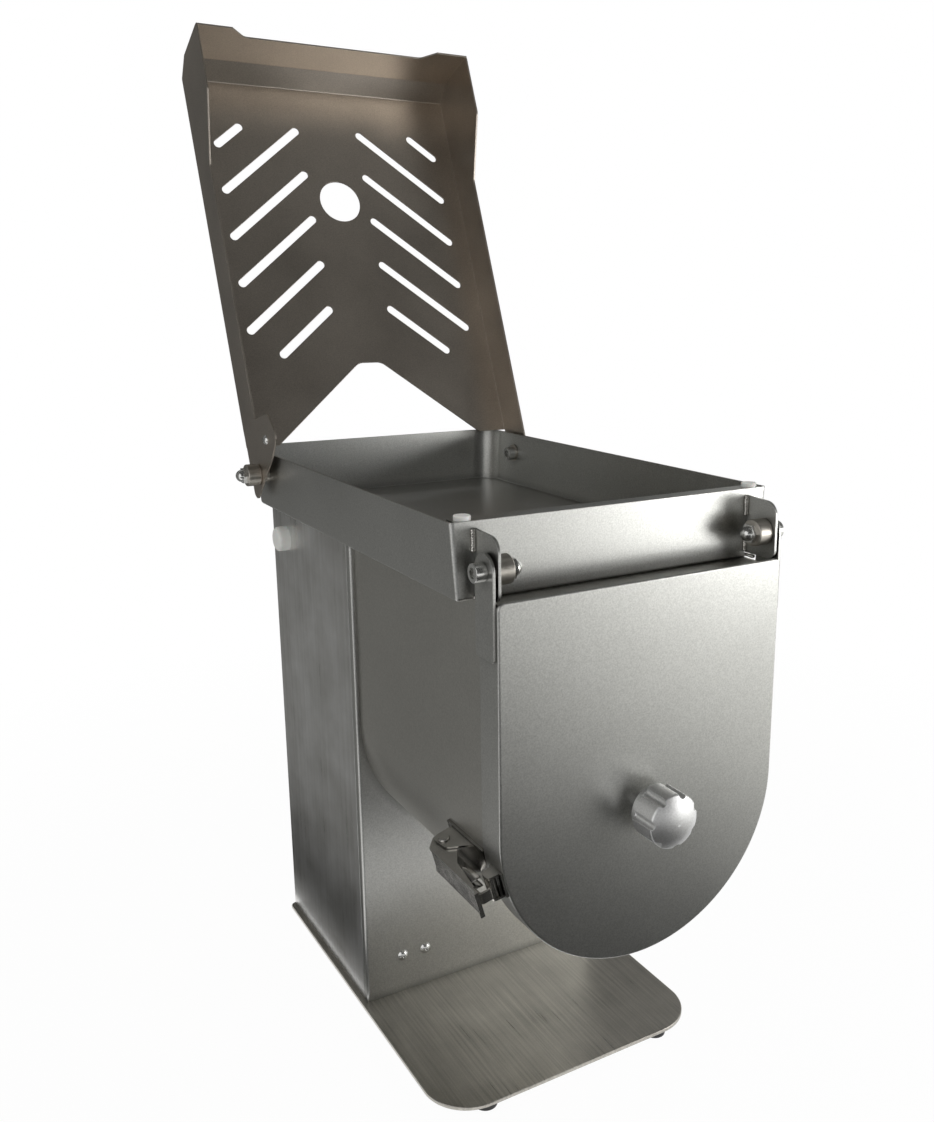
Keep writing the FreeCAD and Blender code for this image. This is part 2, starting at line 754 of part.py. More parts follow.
# Knob with its pin through the door's boss
knob_back_y = door_front_y - SLIDE - spindle_length - collar_length
knob_front_y = knob_back_y - knob_length
dome_ball = (knob_radius**2 + knob_dome**2) / (2 * knob_dome)
half_turn = math.asin(knob_radius / dome_ball) / 2
knob_middle = Vector(0, knob_back_y, axis_z)
knob_edge = Vector(knob_radius, knob_back_y, axis_z)
dome_edge = Vector(knob_radius, knob_front_y + knob_dome, axis_z)
dome_side_y = knob_front_y + dome_ball * (1 - math.cos(half_turn))
dome_side = Vector(dome_ball * math.sin(half_turn), dome_side_y, axis_z)
dome_tip = Vector(0, knob_front_y, axis_z)
knob_profile = Part.Wire(
    [
        Part.LineSegment(knob_middle, knob_edge).toShape(),
        Part.LineSegment(knob_edge, dome_edge).toShape(),
        Part.Arc(dome_edge, dome_side, dome_tip).toShape(),
        Part.LineSegment(dome_tip, knob_middle).toShape(),
    ]
)
knob_blank = Part.Face(knob_profile).revolve(mixer_axis, Vector(0, 1, 0), 360)
knob_blank = knob_blank.makeFillet(
    2.0, [e for e in knob_blank.Edges if e.Closed and e.BoundBox.YMax < knob_back_y - 5]
)
for index in range(knob_groove_count):
    turn = 2 * math.pi * index / knob_groove_count + 0.35
    x = (knob_radius + 0.6) * math.cos(turn)
    z = axis_z + (knob_radius + 0.6) * math.sin(turn)
    knob_blank = knob_blank.cut(rod(knob_groove_radius, (x, knob_back_y + 1, z), (x, knob_front_y - 1, z)))
collar_back_y = knob_back_y + collar_length
collar = rod(collar_radius, (0, knob_back_y, axis_z), (0, collar_back_y, axis_z))
spindle_back_y = collar_back_y + spindle_length
spindle = rod(spindle_radius, (0, collar_back_y, axis_z), (0, spindle_back_y, axis_z))
clip_y = door_inner_y + boss_length + SLIDE
clip_end_y = clip_y + 2.0
pin = rod(knob_pin_radius, (0, spindle_back_y, axis_z), (0, clip_end_y, axis_z))
nose_tip_y = clip_end_y + nose_length
nose = cone(nose_radius, nose_radius * 0.6, (0, clip_end_y, axis_z), (0, nose_tip_y, axis_z))
pin_core = rod(knob_pin_radius * 0.6, (0, spindle_back_y, axis_z), (0, knob_front_y + 9, axis_z))
knob_pin = pin.fuse([nose, pin_core]).removeSplitter()
door_knob = knob_blank.fuse([collar, spindle]).removeSplitter().cut(pin_core)
pin_clip = rod(knob_pin_radius + 3, (0, clip_y, axis_z), (0, clip_end_y - 0.4, axis_z))
pin_clip = pin_clip.cut(rod(knob_pin_radius, (0, clip_y - 1, axis_z), (0, clip_end_y + 1, axis_z)))

# Paddle: a shaft with four arms and pitched blades
shaft_back_y = column_front_y - sheet - seal_length - SLIDE
shaft = rod(shaft_radius, (0, shaft_front_y, axis_z), (0, shaft_back_y, axis_z))
shaft = shaft.fuse(rod(hub_radius, (0, shaft_back_y - hub_length, axis_z), (0, shaft_back_y, axis_z)))
nose_in_y = nose_tip_y + 2
socket = cone(
    nose_radius + nose_play,
    nose_radius * 0.6 + nose_play,
    (0, shaft_front_y, axis_z),
    (0, nose_in_y, axis_z),
)
tongue = box(
    -tongue_thick / 2,
    tongue_thick / 2,
    shaft_back_y - tongue_length,
    shaft_back_y,
    axis_z - drive_radius,
    axis_z + drive_radius,
)
shaft = shaft.removeSplitter().cut([socket, tongue])
arms = []
blades = []
for index in range(arm_count):
    y = arm_first_y - index * arm_pitch
    side = 1 if index % 2 == 0 else -1
    blade = box(
        -blade_width / 2,
        blade_width / 2,
        -blade_thick / 2,
        blade_thick / 2,
        -blade_height / 2,
        blade_height / 2,
    )
    blade.rotate(Vector(0, 0, 0), Vector(1, 0, 0), side * blade_pitch)
    blade.translate(Vector(side * (paddle_radius - blade_width / 2 - 6), y, axis_z))
    arm_end = side * (paddle_radius - blade_width / 2 - 6)
    arm = rod(arm_radius, (side * (shaft_radius - 4), y, axis_z), (arm_end, y, axis_z))
    arms.append(arm.cut(blade))
    blades.append(blade)
    shaft = shaft.cut(rod(arm_radius, (side * (shaft_radius - 4), y, axis_z), (arm_end, y, axis_z)))
blades = [item.common(rod(paddle_radius, (0, -400, axis_z), (0, 400, axis_z))) for item in blades]

# Drive: output shaft, seal, worm gearbox and motor inside the column
drive_end_y = gearbox_front_y + gearbox_depth - 12
drive_shaft = rod(drive_radius, (0, shaft_back_y, axis_z), (0, drive_end_y, axis_z)).fuse(tongue)
drive_shaft = drive_shaft.removeSplitter()
drive_bore = rod(drive_radius + RUN, (0, column_front_y - 30, axis_z), (0, drive_end_y + 1, axis_z))
trough_shell = trough_shell.cut(drive_bore)
column_front = column_front.cut(drive_bore)
seal_front_y = column_front_y - sheet - seal_length
shaft_seal = rod(seal_radius, (0, seal_front_y, axis_z), (0, column_front_y - sheet, axis_z))
seal_edges = [e for e in shaft_seal.Edges if e.Closed and e.BoundBox.YMax < seal_front_y + 1]
shaft_seal = shaft_seal.makeFillet(1.5, seal_edges)
shaft_seal = shaft_seal.cut(drive_bore)
plate_y = column_front_y + sheet
gear_half = gearbox_width / 2
gearbox_mount = box(
    -gear_half - mount_margin,
    gear_half + mount_margin,
    plate_y,
    plate_y + mount_thick,
    axis_z - mount_half_height,
    axis_z + mount_half_height,
)
stands = [
    rod(stand_radius, (x, plate_y + mount_thick, z), (x, gearbox_front_y, z))
    for x in (-gear_half + stand_inset, gear_half - stand_inset)
    for z in (axis_z - stand_half_pitch, axis_z + stand_half_pitch)
]
gearbox_mount = gearbox_mount.fuse(stands).removeSplitter().cut(drive_bore)
gear_low = axis_z - gearbox_height / 2
gear_high = axis_z + gearbox_height / 2
gear_block = rectangle(-gear_half, gear_half, gearbox_front_y, gearbox_front_y + gearbox_depth, 10)
gearbox = prism(gear_block, "xy", gear_low, gearbox_height).cut(drive_bore)
motor_y = gearbox_front_y + gearbox_depth / 2 + motor_setback
motor_top = gear_low
motor_low = floor_z + fan_clearance + fan_cover_length
motor_flange = rod(motor_radius - 8, (0, motor_y, motor_top - 8), (0, motor_y, motor_top))
motor_can = rod(motor_radius - 6, (0, motor_y, motor_low), (0, motor_y, motor_top - 8))
motor = motor_can.fuse(motor_flange)
for index in range(18):
    fin = box(-1.2, 1.2, motor_radius - 9, motor_radius, motor_low + 12, motor_top - 16)
    fin.rotate(Vector(0, 0, 0), Vector(0, 0, 1), index * 20)
    fin.translate(Vector(0, motor_y, 0))
    motor = motor.fuse(fin)
motor = motor.removeSplitter()
fan_cover = rod(motor_radius - 3, (0, motor_y, motor_low - fan_cover_length), (0, motor_y, motor_low))
fan_edges = [e for e in fan_cover.Edges if e.Closed and e.BoundBox.ZMax < motor_low - 5]
fan_cover = fan_cover.makeFillet(5, fan_edges)
terminal_top = motor_top - terminal_top_drop
terminal_low = terminal_top - terminal_height
terminal_back_y = motor_y - motor_radius
terminal_box = box(
    -terminal_half_width,
    terminal_half_width,
    terminal_back_y - terminal_depth,
    terminal_back_y,
    terminal_low,
    terminal_top,
)
terminal_neck = box(
    -terminal_neck_half_width,
    terminal_neck_half_width,
    terminal_back_y,
    motor_y,
    terminal_low + terminal_neck_inset,
    terminal_top - terminal_neck_inset,
)
terminal_box = terminal_box.fuse(terminal_neck).removeSplitter().cut(motor)
terminal_box = max(terminal_box.Solids, key=lambda solid: solid.Volume)
motor_foot = box(-foot_half, foot_half, plate_y, plate_y + foot_sheet, floor_z, foot_top)
motor_foot = motor_foot.fuse(
    box(-foot_half, foot_half, plate_y, plate_y + foot_reach, floor_z, floor_z + foot_sheet)
).removeSplitter()
front_screws = []
for x in (-front_screw_outer, -front_screw_inner, front_screw_inner, front_screw_outer):
    screw_end_y = column_front_y + sheet + foot_sheet + 4
    screw = button_screw(x, column_front_y, front_screw_z, (0, -1, 0), screw_end_y - column_front_y)
    front_screws.append(screw)
    hole = rod(3.0, (x, column_front_y - 5, front_screw_z), (x, screw_end_y, front_screw_z))
    column_front = column_front.cut(hole)
    motor_foot = motor_foot.cut(hole)

# Controls on the right side and the cable gland at the back
panel_x = half
panel = prism(
    rectangle(
        panel_y - panel_width / 2,
        panel_y + panel_width / 2,
        panel_z - panel_height / 2,
        panel_z + panel_height / 2,
        8,
    ),
    "yz",
    panel_x,
    2.0,
)
buttons = []
bezels = []
bodies = []
for name, z in (("start", panel_z + button_pitch / 2), ("stop", panel_z - button_pitch / 2)):
    through = rod(button_radius + RUN, (panel_x - 40, panel_y, z), (panel_x + 40, panel_y, z))
    bezel = rod(bezel_radius, (panel_x + 2, panel_y, z), (panel_x + 7, panel_y, z))
    bezel = bezel.makeFillet(1.2, [e for e in bezel.Edges if e.Closed and e.BoundBox.XMin > panel_x + 6])
    bezels.append(bezel.cut(through))
    reach = 12.0 if name == "stop" else 9.0
    cap = rod(button_radius, (panel_x - 12, panel_y, z), (panel_x + reach, panel_y, z))
    cap = cap.makeFillet(1.5, [e for e in cap.Edges if e.Closed and e.BoundBox.XMin > panel_x])
    buttons.append(cap)
    block = box(panel_x - sheet - 34, panel_x - sheet, panel_y - 14, panel_y + 14, z - 14, z + 14)
    pocket_x = panel_x - 12 - button_travel - 1
    pocket = rod(button_radius + RUN, (pocket_x, panel_y, z), (panel_x + 9, panel_y, z))
    bodies.append(block.cut(pocket))
    panel = panel.cut(through)
    button_hole = rod(button_radius + RUN, (panel_x - 9, panel_y, z), (panel_x + 9, panel_y, z))
    column_shell = column_shell.cut(button_hole)
gland_y = column_back_y
gland = hexagon(20, (gland_x, gland_z), gland_y, 7, "y")
gland = gland.fuse(cone(9.5, 6.5, (gland_x, gland_y + 7, gland_z), (gland_x, gland_y + 18, gland_z)))
gland = gland.fuse(rod(8, (gland_x, gland_y - 12, gland_z), (gland_x, gland_y, gland_z)))
gland_bore = rod(4, (gland_x, gland_y - 20, gland_z), (gland_x, gland_y + 30, gland_z))
gland = gland.removeSplitter().cut(gland_bore)
gland_nut = hexagon(22, (gland_x, gland_z), gland_y - sheet - 5, 5, "y")
gland_nut = gland_nut.cut(rod(8, (gland_x, gland_y - 20, gland_z), (gland_x, gland_y, gland_z)))
column_shell = column_shell.cut(rod(8, (gland_x, gland_y - 9, gland_z), (gland_x, gland_y + 9, gland_z)))


# Latch: built level with the mixer's axis, then turned down round the trough
def on_trough(shape):
    """Turn a latch piece built at +x round the mixer's axis and mirror it to the left side."""
    shape = shape.copy()
    shape.rotate(mixer_axis, Vector(0, 1, 0), latch_angle)
    return mirrored(shape)


def wall_point(n):
    return trough_radius + n


base_outer = latch_base_half
base_strip = box(
    wall_point(-3),
    wall_point(ear_thick),
    latch_base_front_y,
    latch_base_back_y,
    axis_z - base_outer,
    axis_z + base_outer,
)
base_strip = base_strip.cut(rod(trough_radius, (0, -400, axis_z), (0, 0, axis_z)))
ear_inner = lever_width / 2 + 0.3
ear_points = [
    (latch_pivot_y + 10, wall_point(0.5), 0),
    (latch_pivot_y + 9, wall_point(latch_pivot_n + 6), 6),
    (latch_pivot_y - 10, wall_point(latch_pivot_n + 4), 8),
    (latch_pivot_y - 24, wall_point(0.5), 0),
]
pivot_n = wall_point(latch_pivot_n)


def lug(z0, z1, points):
    return prism([(n, y, r) for y, n, r in points], "xy", z0, z1 - z0)


latch_ears = [
    lug(axis_z + ear_inner, axis_z + ear_inner + ear_thick, ear_points),
    lug(axis_z - ear_inner - ear_thick, axis_z - ear_inner, ear_points),
]
latch_base = base_strip.fuse(latch_ears).removeSplitter()
rivet_top = ear_inner + ear_thick + 1.4
rivets = []
for way in (-1, 1):
    start = axis_z + way * (lever_width / 2 - ear_thick - 1.2)
    rivet_end = (pivot_n, latch_pivot_y, axis_z + way * rivet_top)
    rivet = rod(rivet_radius, (pivot_n, latch_pivot_y, start), rivet_end)
    seat = axis_z + way * (ear_inner + ear_thick)
    head = rod(rivet_head, (pivot_n, latch_pivot_y, seat), rivet_end)
    head = head.makeFillet(0.8, [e for e in head.Edges if e.Closed and abs(e.BoundBox.Center.z - seat) > 1])
    rivets.append(rivet.fuse(head).removeSplitter())
    latch_base = latch_base.cut(rivet)
lever_half = lever_width / 2
cheek_points = [
    (latch_pivot_y + latch_crank + 4, wall_point(latch_pivot_n - 4), 3.5),
    (latch_pivot_y + latch_crank + 4, wall_point(latch_pivot_n + 4), 3.5),
    (latch_pivot_y + 1.5, wall_point(lever_panel_n + ear_thick), 3),
    (lever_front_y, wall_point(lever_panel_n + ear_thick), 0),
    (lever_front_y, wall_point(lever_panel_n - 1), 0),
    (latch_pivot_y - 30, wall_point(lever_panel_n - 5), 6),
    (latch_pivot_y - 12, wall_point(latch_pivot_n - 4), 8),
]
cheeks = [
    lug(axis_z + lever_half - ear_thick, axis_z + lever_half, cheek_points),
    lug(axis_z - lever_half, axis_z - lever_half + ear_thick, cheek_points),
]
panel_n0 = wall_point(lever_panel_n)
lever_plate = box(
    panel_n0,
    panel_n0 + ear_thick,
    lever_front_y - 6,
    latch_pivot_y - 1.5,
    axis_z - lever_half,
    axis_z + lever_half,
)
lip = box(
    panel_n0,
    panel_n0 + lever_lip,
    lever_front_y - 6 - ear_thick,
    lever_front_y - 6,
    axis_z - lever_half,
    axis_z + lever_half,
)
crank_y = latch_pivot_y + latch_crank
crank_ends = [(pivot_n, crank_y, axis_z - lever_half), (pivot_n, crank_y, axis_z + lever_half)]
crank_pin = rod(crank_pin_radius, *crank_ends)
lever = lever_plate.fuse(cheeks + [lip]).removeSplitter()
lever = lever.cut(
    [
        rod(rivet_radius + RUN, (pivot_n, latch_pivot_y, axis_z - 30), (pivot_n, latch_pivot_y, axis_z + 30)),
        crank_pin,
    ]
)
bail_under = roller_n + roller_radius + 0.4 + (crank_y - roller_y) * math.sin(math.radians(bail_throw))
hook_y = roller_y - roller_radius - 2.4
bail_points = [
    (crank_y + bail_eye_radius, wall_point(latch_pivot_n - bail_eye_radius), bail_eye_radius - 0.01),
    (crank_y + bail_eye_radius, wall_point(latch_pivot_n + bail_eye_radius), bail_eye_radius - 0.01),
    (latch_pivot_y - 8, wall_point(bail_under + bail_thick), 4),
    (hook_y - bail_thick, wall_point(bail_under + bail_thick), 2.5),
    (hook_y - bail_thick, wall_point(bail_under - hook_depth), 0.6),
    (hook_y, wall_point(bail_under - hook_depth), 0.6),
    (hook_y, wall_point(bail_under), 1),
    (latch_pivot_y - 8, wall_point(bail_under), 3),
    (crank_y - 2, wall_point(latch_pivot_n - bail_eye_radius), 1),
]
bail = lug(axis_z - bail_width / 2, axis_z + bail_width / 2, bail_points)
bail = bail.cut(
    rod(crank_pin_radius + RUN, (pivot_n, crank_y, axis_z - 30), (pivot_n, crank_y, axis_z + 30))
)
rim_n = door_radius - trough_radius
keeper_plate = box(
    wall_point(rim_n - 3),
    wall_point(rim_n + 1.5),
    roller_y - 8,
    roller_y + 8,
    axis_z - keeper_half - 1.5,
    axis_z + keeper_half + 1.5,
)
keeper_plate = keeper_plate.cut(rod(door_radius, (0, -400, axis_z), (0, 0, axis_z)))
keeper_points = [
    (roller_y + 6, wall_point(rim_n + 1), 0),
    (roller_y + 5, wall_point(roller_n + 3.4), 3),
    (roller_y - 5, wall_point(roller_n + 3.4), 3),
    (roller_y - 6, wall_point(rim_n + 1), 0),
]
keeper = keeper_plate.fuse(
    [
        lug(axis_z + keeper_half, axis_z + keeper_half + 1.5, keeper_points),
        lug(axis_z - keeper_half - 1.5, axis_z - keeper_half, keeper_points),
    ]
).removeSplitter()
roller = rod(
    roller_radius,
    (wall_point(roller_n), roller_y, axis_z - keeper_half),
    (wall_point(roller_n), roller_y, axis_z + keeper_half),
)

# Nodes
save("base_plate", base_plate)
save("rubber_feet", *feet)
save("foot_screws", *foot_screws)
save("column_front", column_front)
save("column_shell", column_shell)
save("seam_straps", *both_sides(seam_strap))
save("rear_hatch", rear_hatch)
save("hatch_screws", *hatch_screws)
save("hopper_tray", hopper_tray)
save("trough_shell", trough_shell)
save("hinge_brackets", *both_sides(bracket))
save("hinge_spacers", *both_sides(hinge_spacer))
save("hinge_bushings", *both_sides(hinge_bushing))
save("hinge_screws", *both_sides(hinge_screw))
save("hinge_nuts", *both_sides(hinge_nut))
save("rim_bumpers", *both_sides(bumper))
save("lid_pivot_screws", *both_sides(lid_screw))
save("lid_pivot_pads", *both_sides(lid_pad))
save("lid_pivot_spacers", *both_sides(lid_spacer))
save("lid_pivot_bushings", *both_sides(lid_bushing))
save("lid_pivot_nuts", *both_sides(lid_nut))
save("safety_nub", safety_nub)
save("nub_nut", nub_nut)
save("front_screws", *front_screws)
save("motor_foot", motor_foot)
save("gearbox_mount", gearbox_mount)
save("gearbox", gearbox)
save("motor", motor)
save("fan_cover", fan_cover)
save("terminal_box", terminal_box)
save("shaft_seal", shaft_seal)
save("button_panel", panel)
save("button_bezels", *bezels)
save("button_blocks", *bodies)
save("start_button", buttons[0])
save("stop_button", buttons[1])
save("cable_gland", gland)
save("gland_nut", gland_nut)
save("drive_shaft", drive_shaft)
save("paddle_shaft", shaft)
save("paddle_arms", *arms)
save("paddle_blades", *blades)
save("door_panel", door_panel)
save("door_straps", *both_sides(strap))
save("door_gasket", door_gasket)
save("door_boss", door_boss)
save("door_knob", door_knob)
save("knob_pin", knob_pin)
save("pin_clip", pin_clip)
save("lid_panel", swung_open(lid_body))
save("lid_magnet", swung_open(magnet))
save("magnet_screw", swung_open(magnet_screw))
save("latch_keepers", on_trough(keeper))
save("keeper_rollers", on_trough(roller))
save("latch_bases", on_trough(latch_base))
save("latch_rivets", *[on_trough(rivet) for rivet in rivets])
save("latch_lever_left", on_trough(lever), on_trough(crank_pin))
save("latch_bail_left", on_trough(bail))

# The origin is on the table under the middle of the whole mixer with its lid open
lid_reach = nodes["lid_panel"].optimalBoundingBox(False, False).YMax
origin_y = round((lid_reach + knob_front_y) / 2, 1)
for name, shape in nodes.items():
    shape.translate(Vector(0, -origin_y, 0))
    shape.exportStep("parts/" + name + ".step")
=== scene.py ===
"""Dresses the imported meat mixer: steel finishes, weld beads, the latch's spring, studio and camera."""

import logging
import math
from dataclasses import dataclass
from enum import Enum
from typing import Optional, Sequence, Union

import bmesh
import bpy
from mathutils import Matrix, Vector


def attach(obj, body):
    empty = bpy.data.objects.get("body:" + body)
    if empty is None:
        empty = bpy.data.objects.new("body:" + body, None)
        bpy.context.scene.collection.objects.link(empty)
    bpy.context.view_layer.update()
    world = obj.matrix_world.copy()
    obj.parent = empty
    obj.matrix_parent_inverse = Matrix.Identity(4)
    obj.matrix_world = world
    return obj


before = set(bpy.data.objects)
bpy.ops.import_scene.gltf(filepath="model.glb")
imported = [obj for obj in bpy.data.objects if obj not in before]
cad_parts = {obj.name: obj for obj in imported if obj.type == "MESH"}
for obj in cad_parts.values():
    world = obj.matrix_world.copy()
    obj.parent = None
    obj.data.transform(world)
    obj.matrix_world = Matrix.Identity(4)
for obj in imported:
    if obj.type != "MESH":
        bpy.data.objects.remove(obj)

Number = Union[int, float]
Colour = tuple[float, float, float]
Point = tuple[float, float, float]

log = logging.getLogger("meat_mixer")
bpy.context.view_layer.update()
MM = 0.001
# Where the CAD drawing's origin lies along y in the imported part
SHIFT_Y = -12.7 * MM
UP = (0.0, 0.0, 1.0)
DOWN = (0.0, 0.0, -1.0)
# How high over the floor the lying cards are
CARD_LIFT = 0.012


class Grain(Enum):
    """Which way a surface was brushed."""

    NONE = "none"
    ALONG_Y = "y"
    ALONG_Z = "z"


class Value:
    """A number socket with Python's operators; each one adds a Math node."""

    def __init__(self, graph: "Graph", socket: bpy.types.NodeSocket) -> None:
        """Wrap a socket.

        Args:
            graph: the tree that the socket is in.
            socket: an output socket that carries a number.
        """
        self.graph = graph
        self.socket = socket

    def _math(self, operation: str, *values: Union["Value", Number]) -> "Value":
        """Add a Math node.

        Args:
            operation: the node's operation.
            values: its operands in order.

        Returns:
            The node's result.
        """
        return self.graph.value("ShaderNodeMath", {"operation": operation}, dict(enumerate(values)))

    def __add__(self, other: Union["Value", Number]) -> "Value":
        """self + other."""
        return self._math("ADD", self, other)

    __radd__ = __add__

    def __sub__(self, other: Union["Value", Number]) -> "Value":
        """self - other."""
        return self._math("SUBTRACT", self, other)

    def __rsub__(self, other: Number) -> "Value":
        """other - self."""
        return self._math("SUBTRACT", other, self)

    def __mul__(self, other: Union["Value", Number]) -> "Value":
        """self * other."""
        return self._math("MULTIPLY", self, other)

    __rmul__ = __mul__

    def clamp(self, low: float = 0.0, high: float = 1.0) -> "Value":
        """Keep the value between two limits.

        Args:
            low: the lower limit.
            high: the upper limit.

        Returns:
            The limited value.
        """
        return self._math("MINIMUM", self._math("MAXIMUM", self, low), high)

    def wave(self) -> "Value":
        """The sine of the value."""
        return self._math("SINE", self)

    def power(self, exponent: float) -> "Value":
        """The value raised to a power."""
        return self._math("POWER", self, exponent)


class Graph:
    """A node tree that is filled in one call per node."""

    def __init__(self, tree: bpy.types.NodeTree) -> None:
        """Start on an empty tree.

        Args:
            tree: the tree to fill; its nodes are cleared.
        """
        self.tree = tree
        self.tree.nodes.clear()

    def add(
        self, kind: str, settings: Optional[dict] = None, inputs: Optional[dict] = None
    ) -> bpy.types.Node:
        """Add a node.

        Args:
            kind: the node's type name.
            settings: its properties, set first.
            inputs: values or links by socket name or number.

        Returns:
            The new node.
        """
        node = self.tree.nodes.new(kind)
        for name, value in (settings or {}).items():
            setattr(node, name, value)
        for key, value in (inputs or {}).items():
            self.plug(node.inputs[key], value)
        return node

    def plug(self, socket: bpy.types.NodeSocket, value: object) -> None:
        """Link or set one input.

        Args:
            socket: the input.
            value: a Value, a socket, a number or a tuple.
        """
        if isinstance(value, Value):
            value = value.socket
        if isinstance(value, bpy.types.NodeSocket):
            self.tree.links.new(value, socket)
        elif socket.type == "RGBA" and len(value) == 3:
            socket.default_value = (*value, 1.0)
        else:
            socket.default_value = value

    def value(
        self,
        kind: str,
        settings: Optional[dict] = None,
        inputs: Optional[dict] = None,
        output: Union[int, str] = 0,
    ) -> Value:
        """Add a node and wrap one of its outputs.

        Args:
            kind: the node's type name.
            settings: its properties.
            inputs: its inputs.
            output: which output to wrap.

        Returns:
            The wrapped output.
        """
        return Value(self, self.add(kind, settings, inputs).outputs[output])

    def noise(
        self,
        vector: bpy.types.NodeSocket,
        cells: Sequence[float],
        detail: float = 2.0,
        seed: float = 0.0,
    ) -> Value:
        """A noise pattern on stretched coordinates.

        Args:
            vector: the coordinates.
            cells: cells per metre along x, y and z.
            detail: the noise's octaves.
            seed: an offset that gives each layer its own pattern.

        Returns:
            The noise, between 0 and 1.
        """
        offset = (seed, seed * 0.7, seed * 1.3)
        mapping = {"Vector": vector, "Location": offset, "Scale": tuple(cells)}
        place = self.add("ShaderNodeMapping", None, mapping)
        pattern = {"Vector": place.outputs[0], "Scale": 1.0, "Detail": detail, "Roughness": 0.55}
        return self.value("ShaderNodeTexNoise", None, pattern)

    def blend(self, factor: Value, low: Colour, high: Colour) -> bpy.types.NodeSocket:
        """Mix two colours.

        Args:
            factor: 0 gives low, 1 gives high.
            low: the first colour.
            high: the second colour.

        Returns:
            The mixed colour.
        """
        # By number, because the node's number, vector and colour sockets share their names
        return self.add("ShaderNodeMix", {"data_type": "RGBA"}, {0: factor, 6: low, 7: high}).outputs[2]

    def coordinates(self) -> bpy.types.NodeSocket:
        """The object's own coordinates."""
        return self.add("ShaderNodeTexCoord").outputs["Object"]


def shade(colour: Colour, amount: float) -> Colour:
    """A colour made lighter or darker.

    Args:
        colour: the colour.
        amount: the factor on each channel.

    Returns:
        The changed colour, at most 1 in each channel.
    """
    return tuple(min(channel * amount, 1.0) for channel in colour)


def new_material(name: str) -> tuple[bpy.types.Material, Graph]:
    """An empty material.

    Args:
        name: the material's name.

    Returns:
        The material and its graph.
    """
    material = bpy.data.materials.new(name)
    material.use_nodes = True
    return material, Graph(material.node_tree)


@dataclass(frozen=True)
class Finish:
    """What every finish shares: a name, a colour and a gloss."""

    name: str
    colour: Colour
    roughness: float

    def start(self) -> tuple[bpy.types.Material, Graph, bpy.types.Node, bpy.types.NodeSocket]:
        """Make the material with its main shader.

        Returns:
            The material, its graph, the Principled node and the Object coordinates.
        """
        material, graph = new_material(self.name)
        skin = graph.add("ShaderNodeBsdfPrincipled")
        graph.add("ShaderNodeOutputMaterial", None, {"Surface": skin.outputs[0]})
        return material, graph, skin, graph.coordinates()

    def build(self) -> bpy.types.Material:
        """Make the material, which each kind of finish does in its own way."""
        raise NotImplementedError


@dataclass(frozen=True)
class Steel(Finish):
    """Blasted, brushed or cast metal; sizes are in metres, cells are per metre."""

    grain: Grain = Grain.NONE
    cloud: float = 0.05
    cloud_size: float = 0.16
    grit: float = 0.05
    grit_size: float = 0.0012
    streak: float = 0.0
    streak_width: float = 0.002
    fine: float = 0.16
    relief: float = 0.12
    # How strongly painted shade darkens the colour in recesses and corners, found by ambient occlusion
    painted_recess_shade: float = 0.0
    edge: float = 0.0007
    seed: float = 0.0
    blasted_cells: float = 700.0
    brushed_cells: float = 2600.0
    brushed_run: float = 14.0
    streak_run: float = 0.02
    layer_seeds: tuple[int, int, int] = (3, 7, 9)
    cloud_shine: float = 0.7
    streak_shine: float = 1.5
    painted_shade_reach: float = 0.008
    painted_shade_falloff: float = 1.6
    relief_height: float = 0.0002

    def build(self) -> bpy.types.Material:
        """Make the material.

        Returns:
            The finished material.
        """
        material, graph, skin, place = self.start()
        grit_seed, hair_seed, scratch_seed = (self.seed + step for step in self.layer_seeds)
        broad = graph.noise(place, [1 / self.cloud_size] * 3, 3.0, self.seed)
        speck = graph.noise(place, [1 / self.grit_size] * 3, 2.0, grit_seed)
        hair_cells, scratch_cells = self.brushing()
        hair = graph.noise(place, hair_cells, 2.0, hair_seed)
        scratch = graph.noise(place, scratch_cells, 3.0, scratch_seed)
        reach = self.cloud + self.grit + self.streak
        tone = (
            (broad - 0.5) * (2 * self.cloud / reach)
            + (speck - 0.5) * (2 * self.grit / reach)
            + (scratch - 0.5) * (2 * self.streak / reach)
        )
        low, high = shade(self.colour, 1 - reach), shade(self.colour, 1 + reach)
        colour = graph.blend((0.5 + tone).clamp(), low, high)
        # Painted shade: the base colour is darkened where ambient occlusion finds nearby surfaces, in
        # recesses, corners and between parts
        if self.painted_recess_shade:
            sky = {"Distance": self.painted_shade_reach}
            open_sky = graph.value("ShaderNodeAmbientOcclusion", {"samples": 8}, sky, "AO")
            painted_shade_colour = shade(self.colour, 1 - self.painted_recess_shade)
            colour = graph.blend(open_sky.power(self.painted_shade_falloff), painted_shade_colour, colour)
        graph.plug(skin.inputs["Base Color"], colour)
        rough = (
            self.roughness
            + (broad - 0.5) * (self.fine * self.cloud_shine)
            + (hair - 0.5) * self.fine
            + (scratch - 0.5) * (self.streak * self.streak_shine)
        )
        graph.plug(skin.inputs["Roughness"], rough.clamp(0.05, 0.95))
        skin.inputs["Metallic"].default_value = 1.0
        bump = {"Strength": self.relief, "Distance": self.relief_height, "Height": hair * 0.5 + speck * 0.5}
        if self.edge:
            bump["Normal"] = graph.add("ShaderNodeBevel", {"samples": 4}, {"Radius": self.edge}).outputs[0]
        graph.plug(skin.inputs["Normal"], graph.add("ShaderNodeBump", None, bump).outputs[0])
        return material

    def brushing(self) -> tuple[list[float], list[float]]:
        """Cells of the fine hairs and of the scratches, drawn out along the grain.

        Returns:
            The hairs' cells and the scratches' cells along x, y and z.
        """
        scratches = [1 / self.streak_width] * 3
        if self.grain is Grain.NONE:
            return [self.blasted_cells] * 3, scratches
        hairs = [self.brushed_cells] * 3
        along = "xyz".index(self.grain.value)
        hairs[along] = self.brushed_run
        scratches[along] *= self.streak_run
        return hairs, scratches


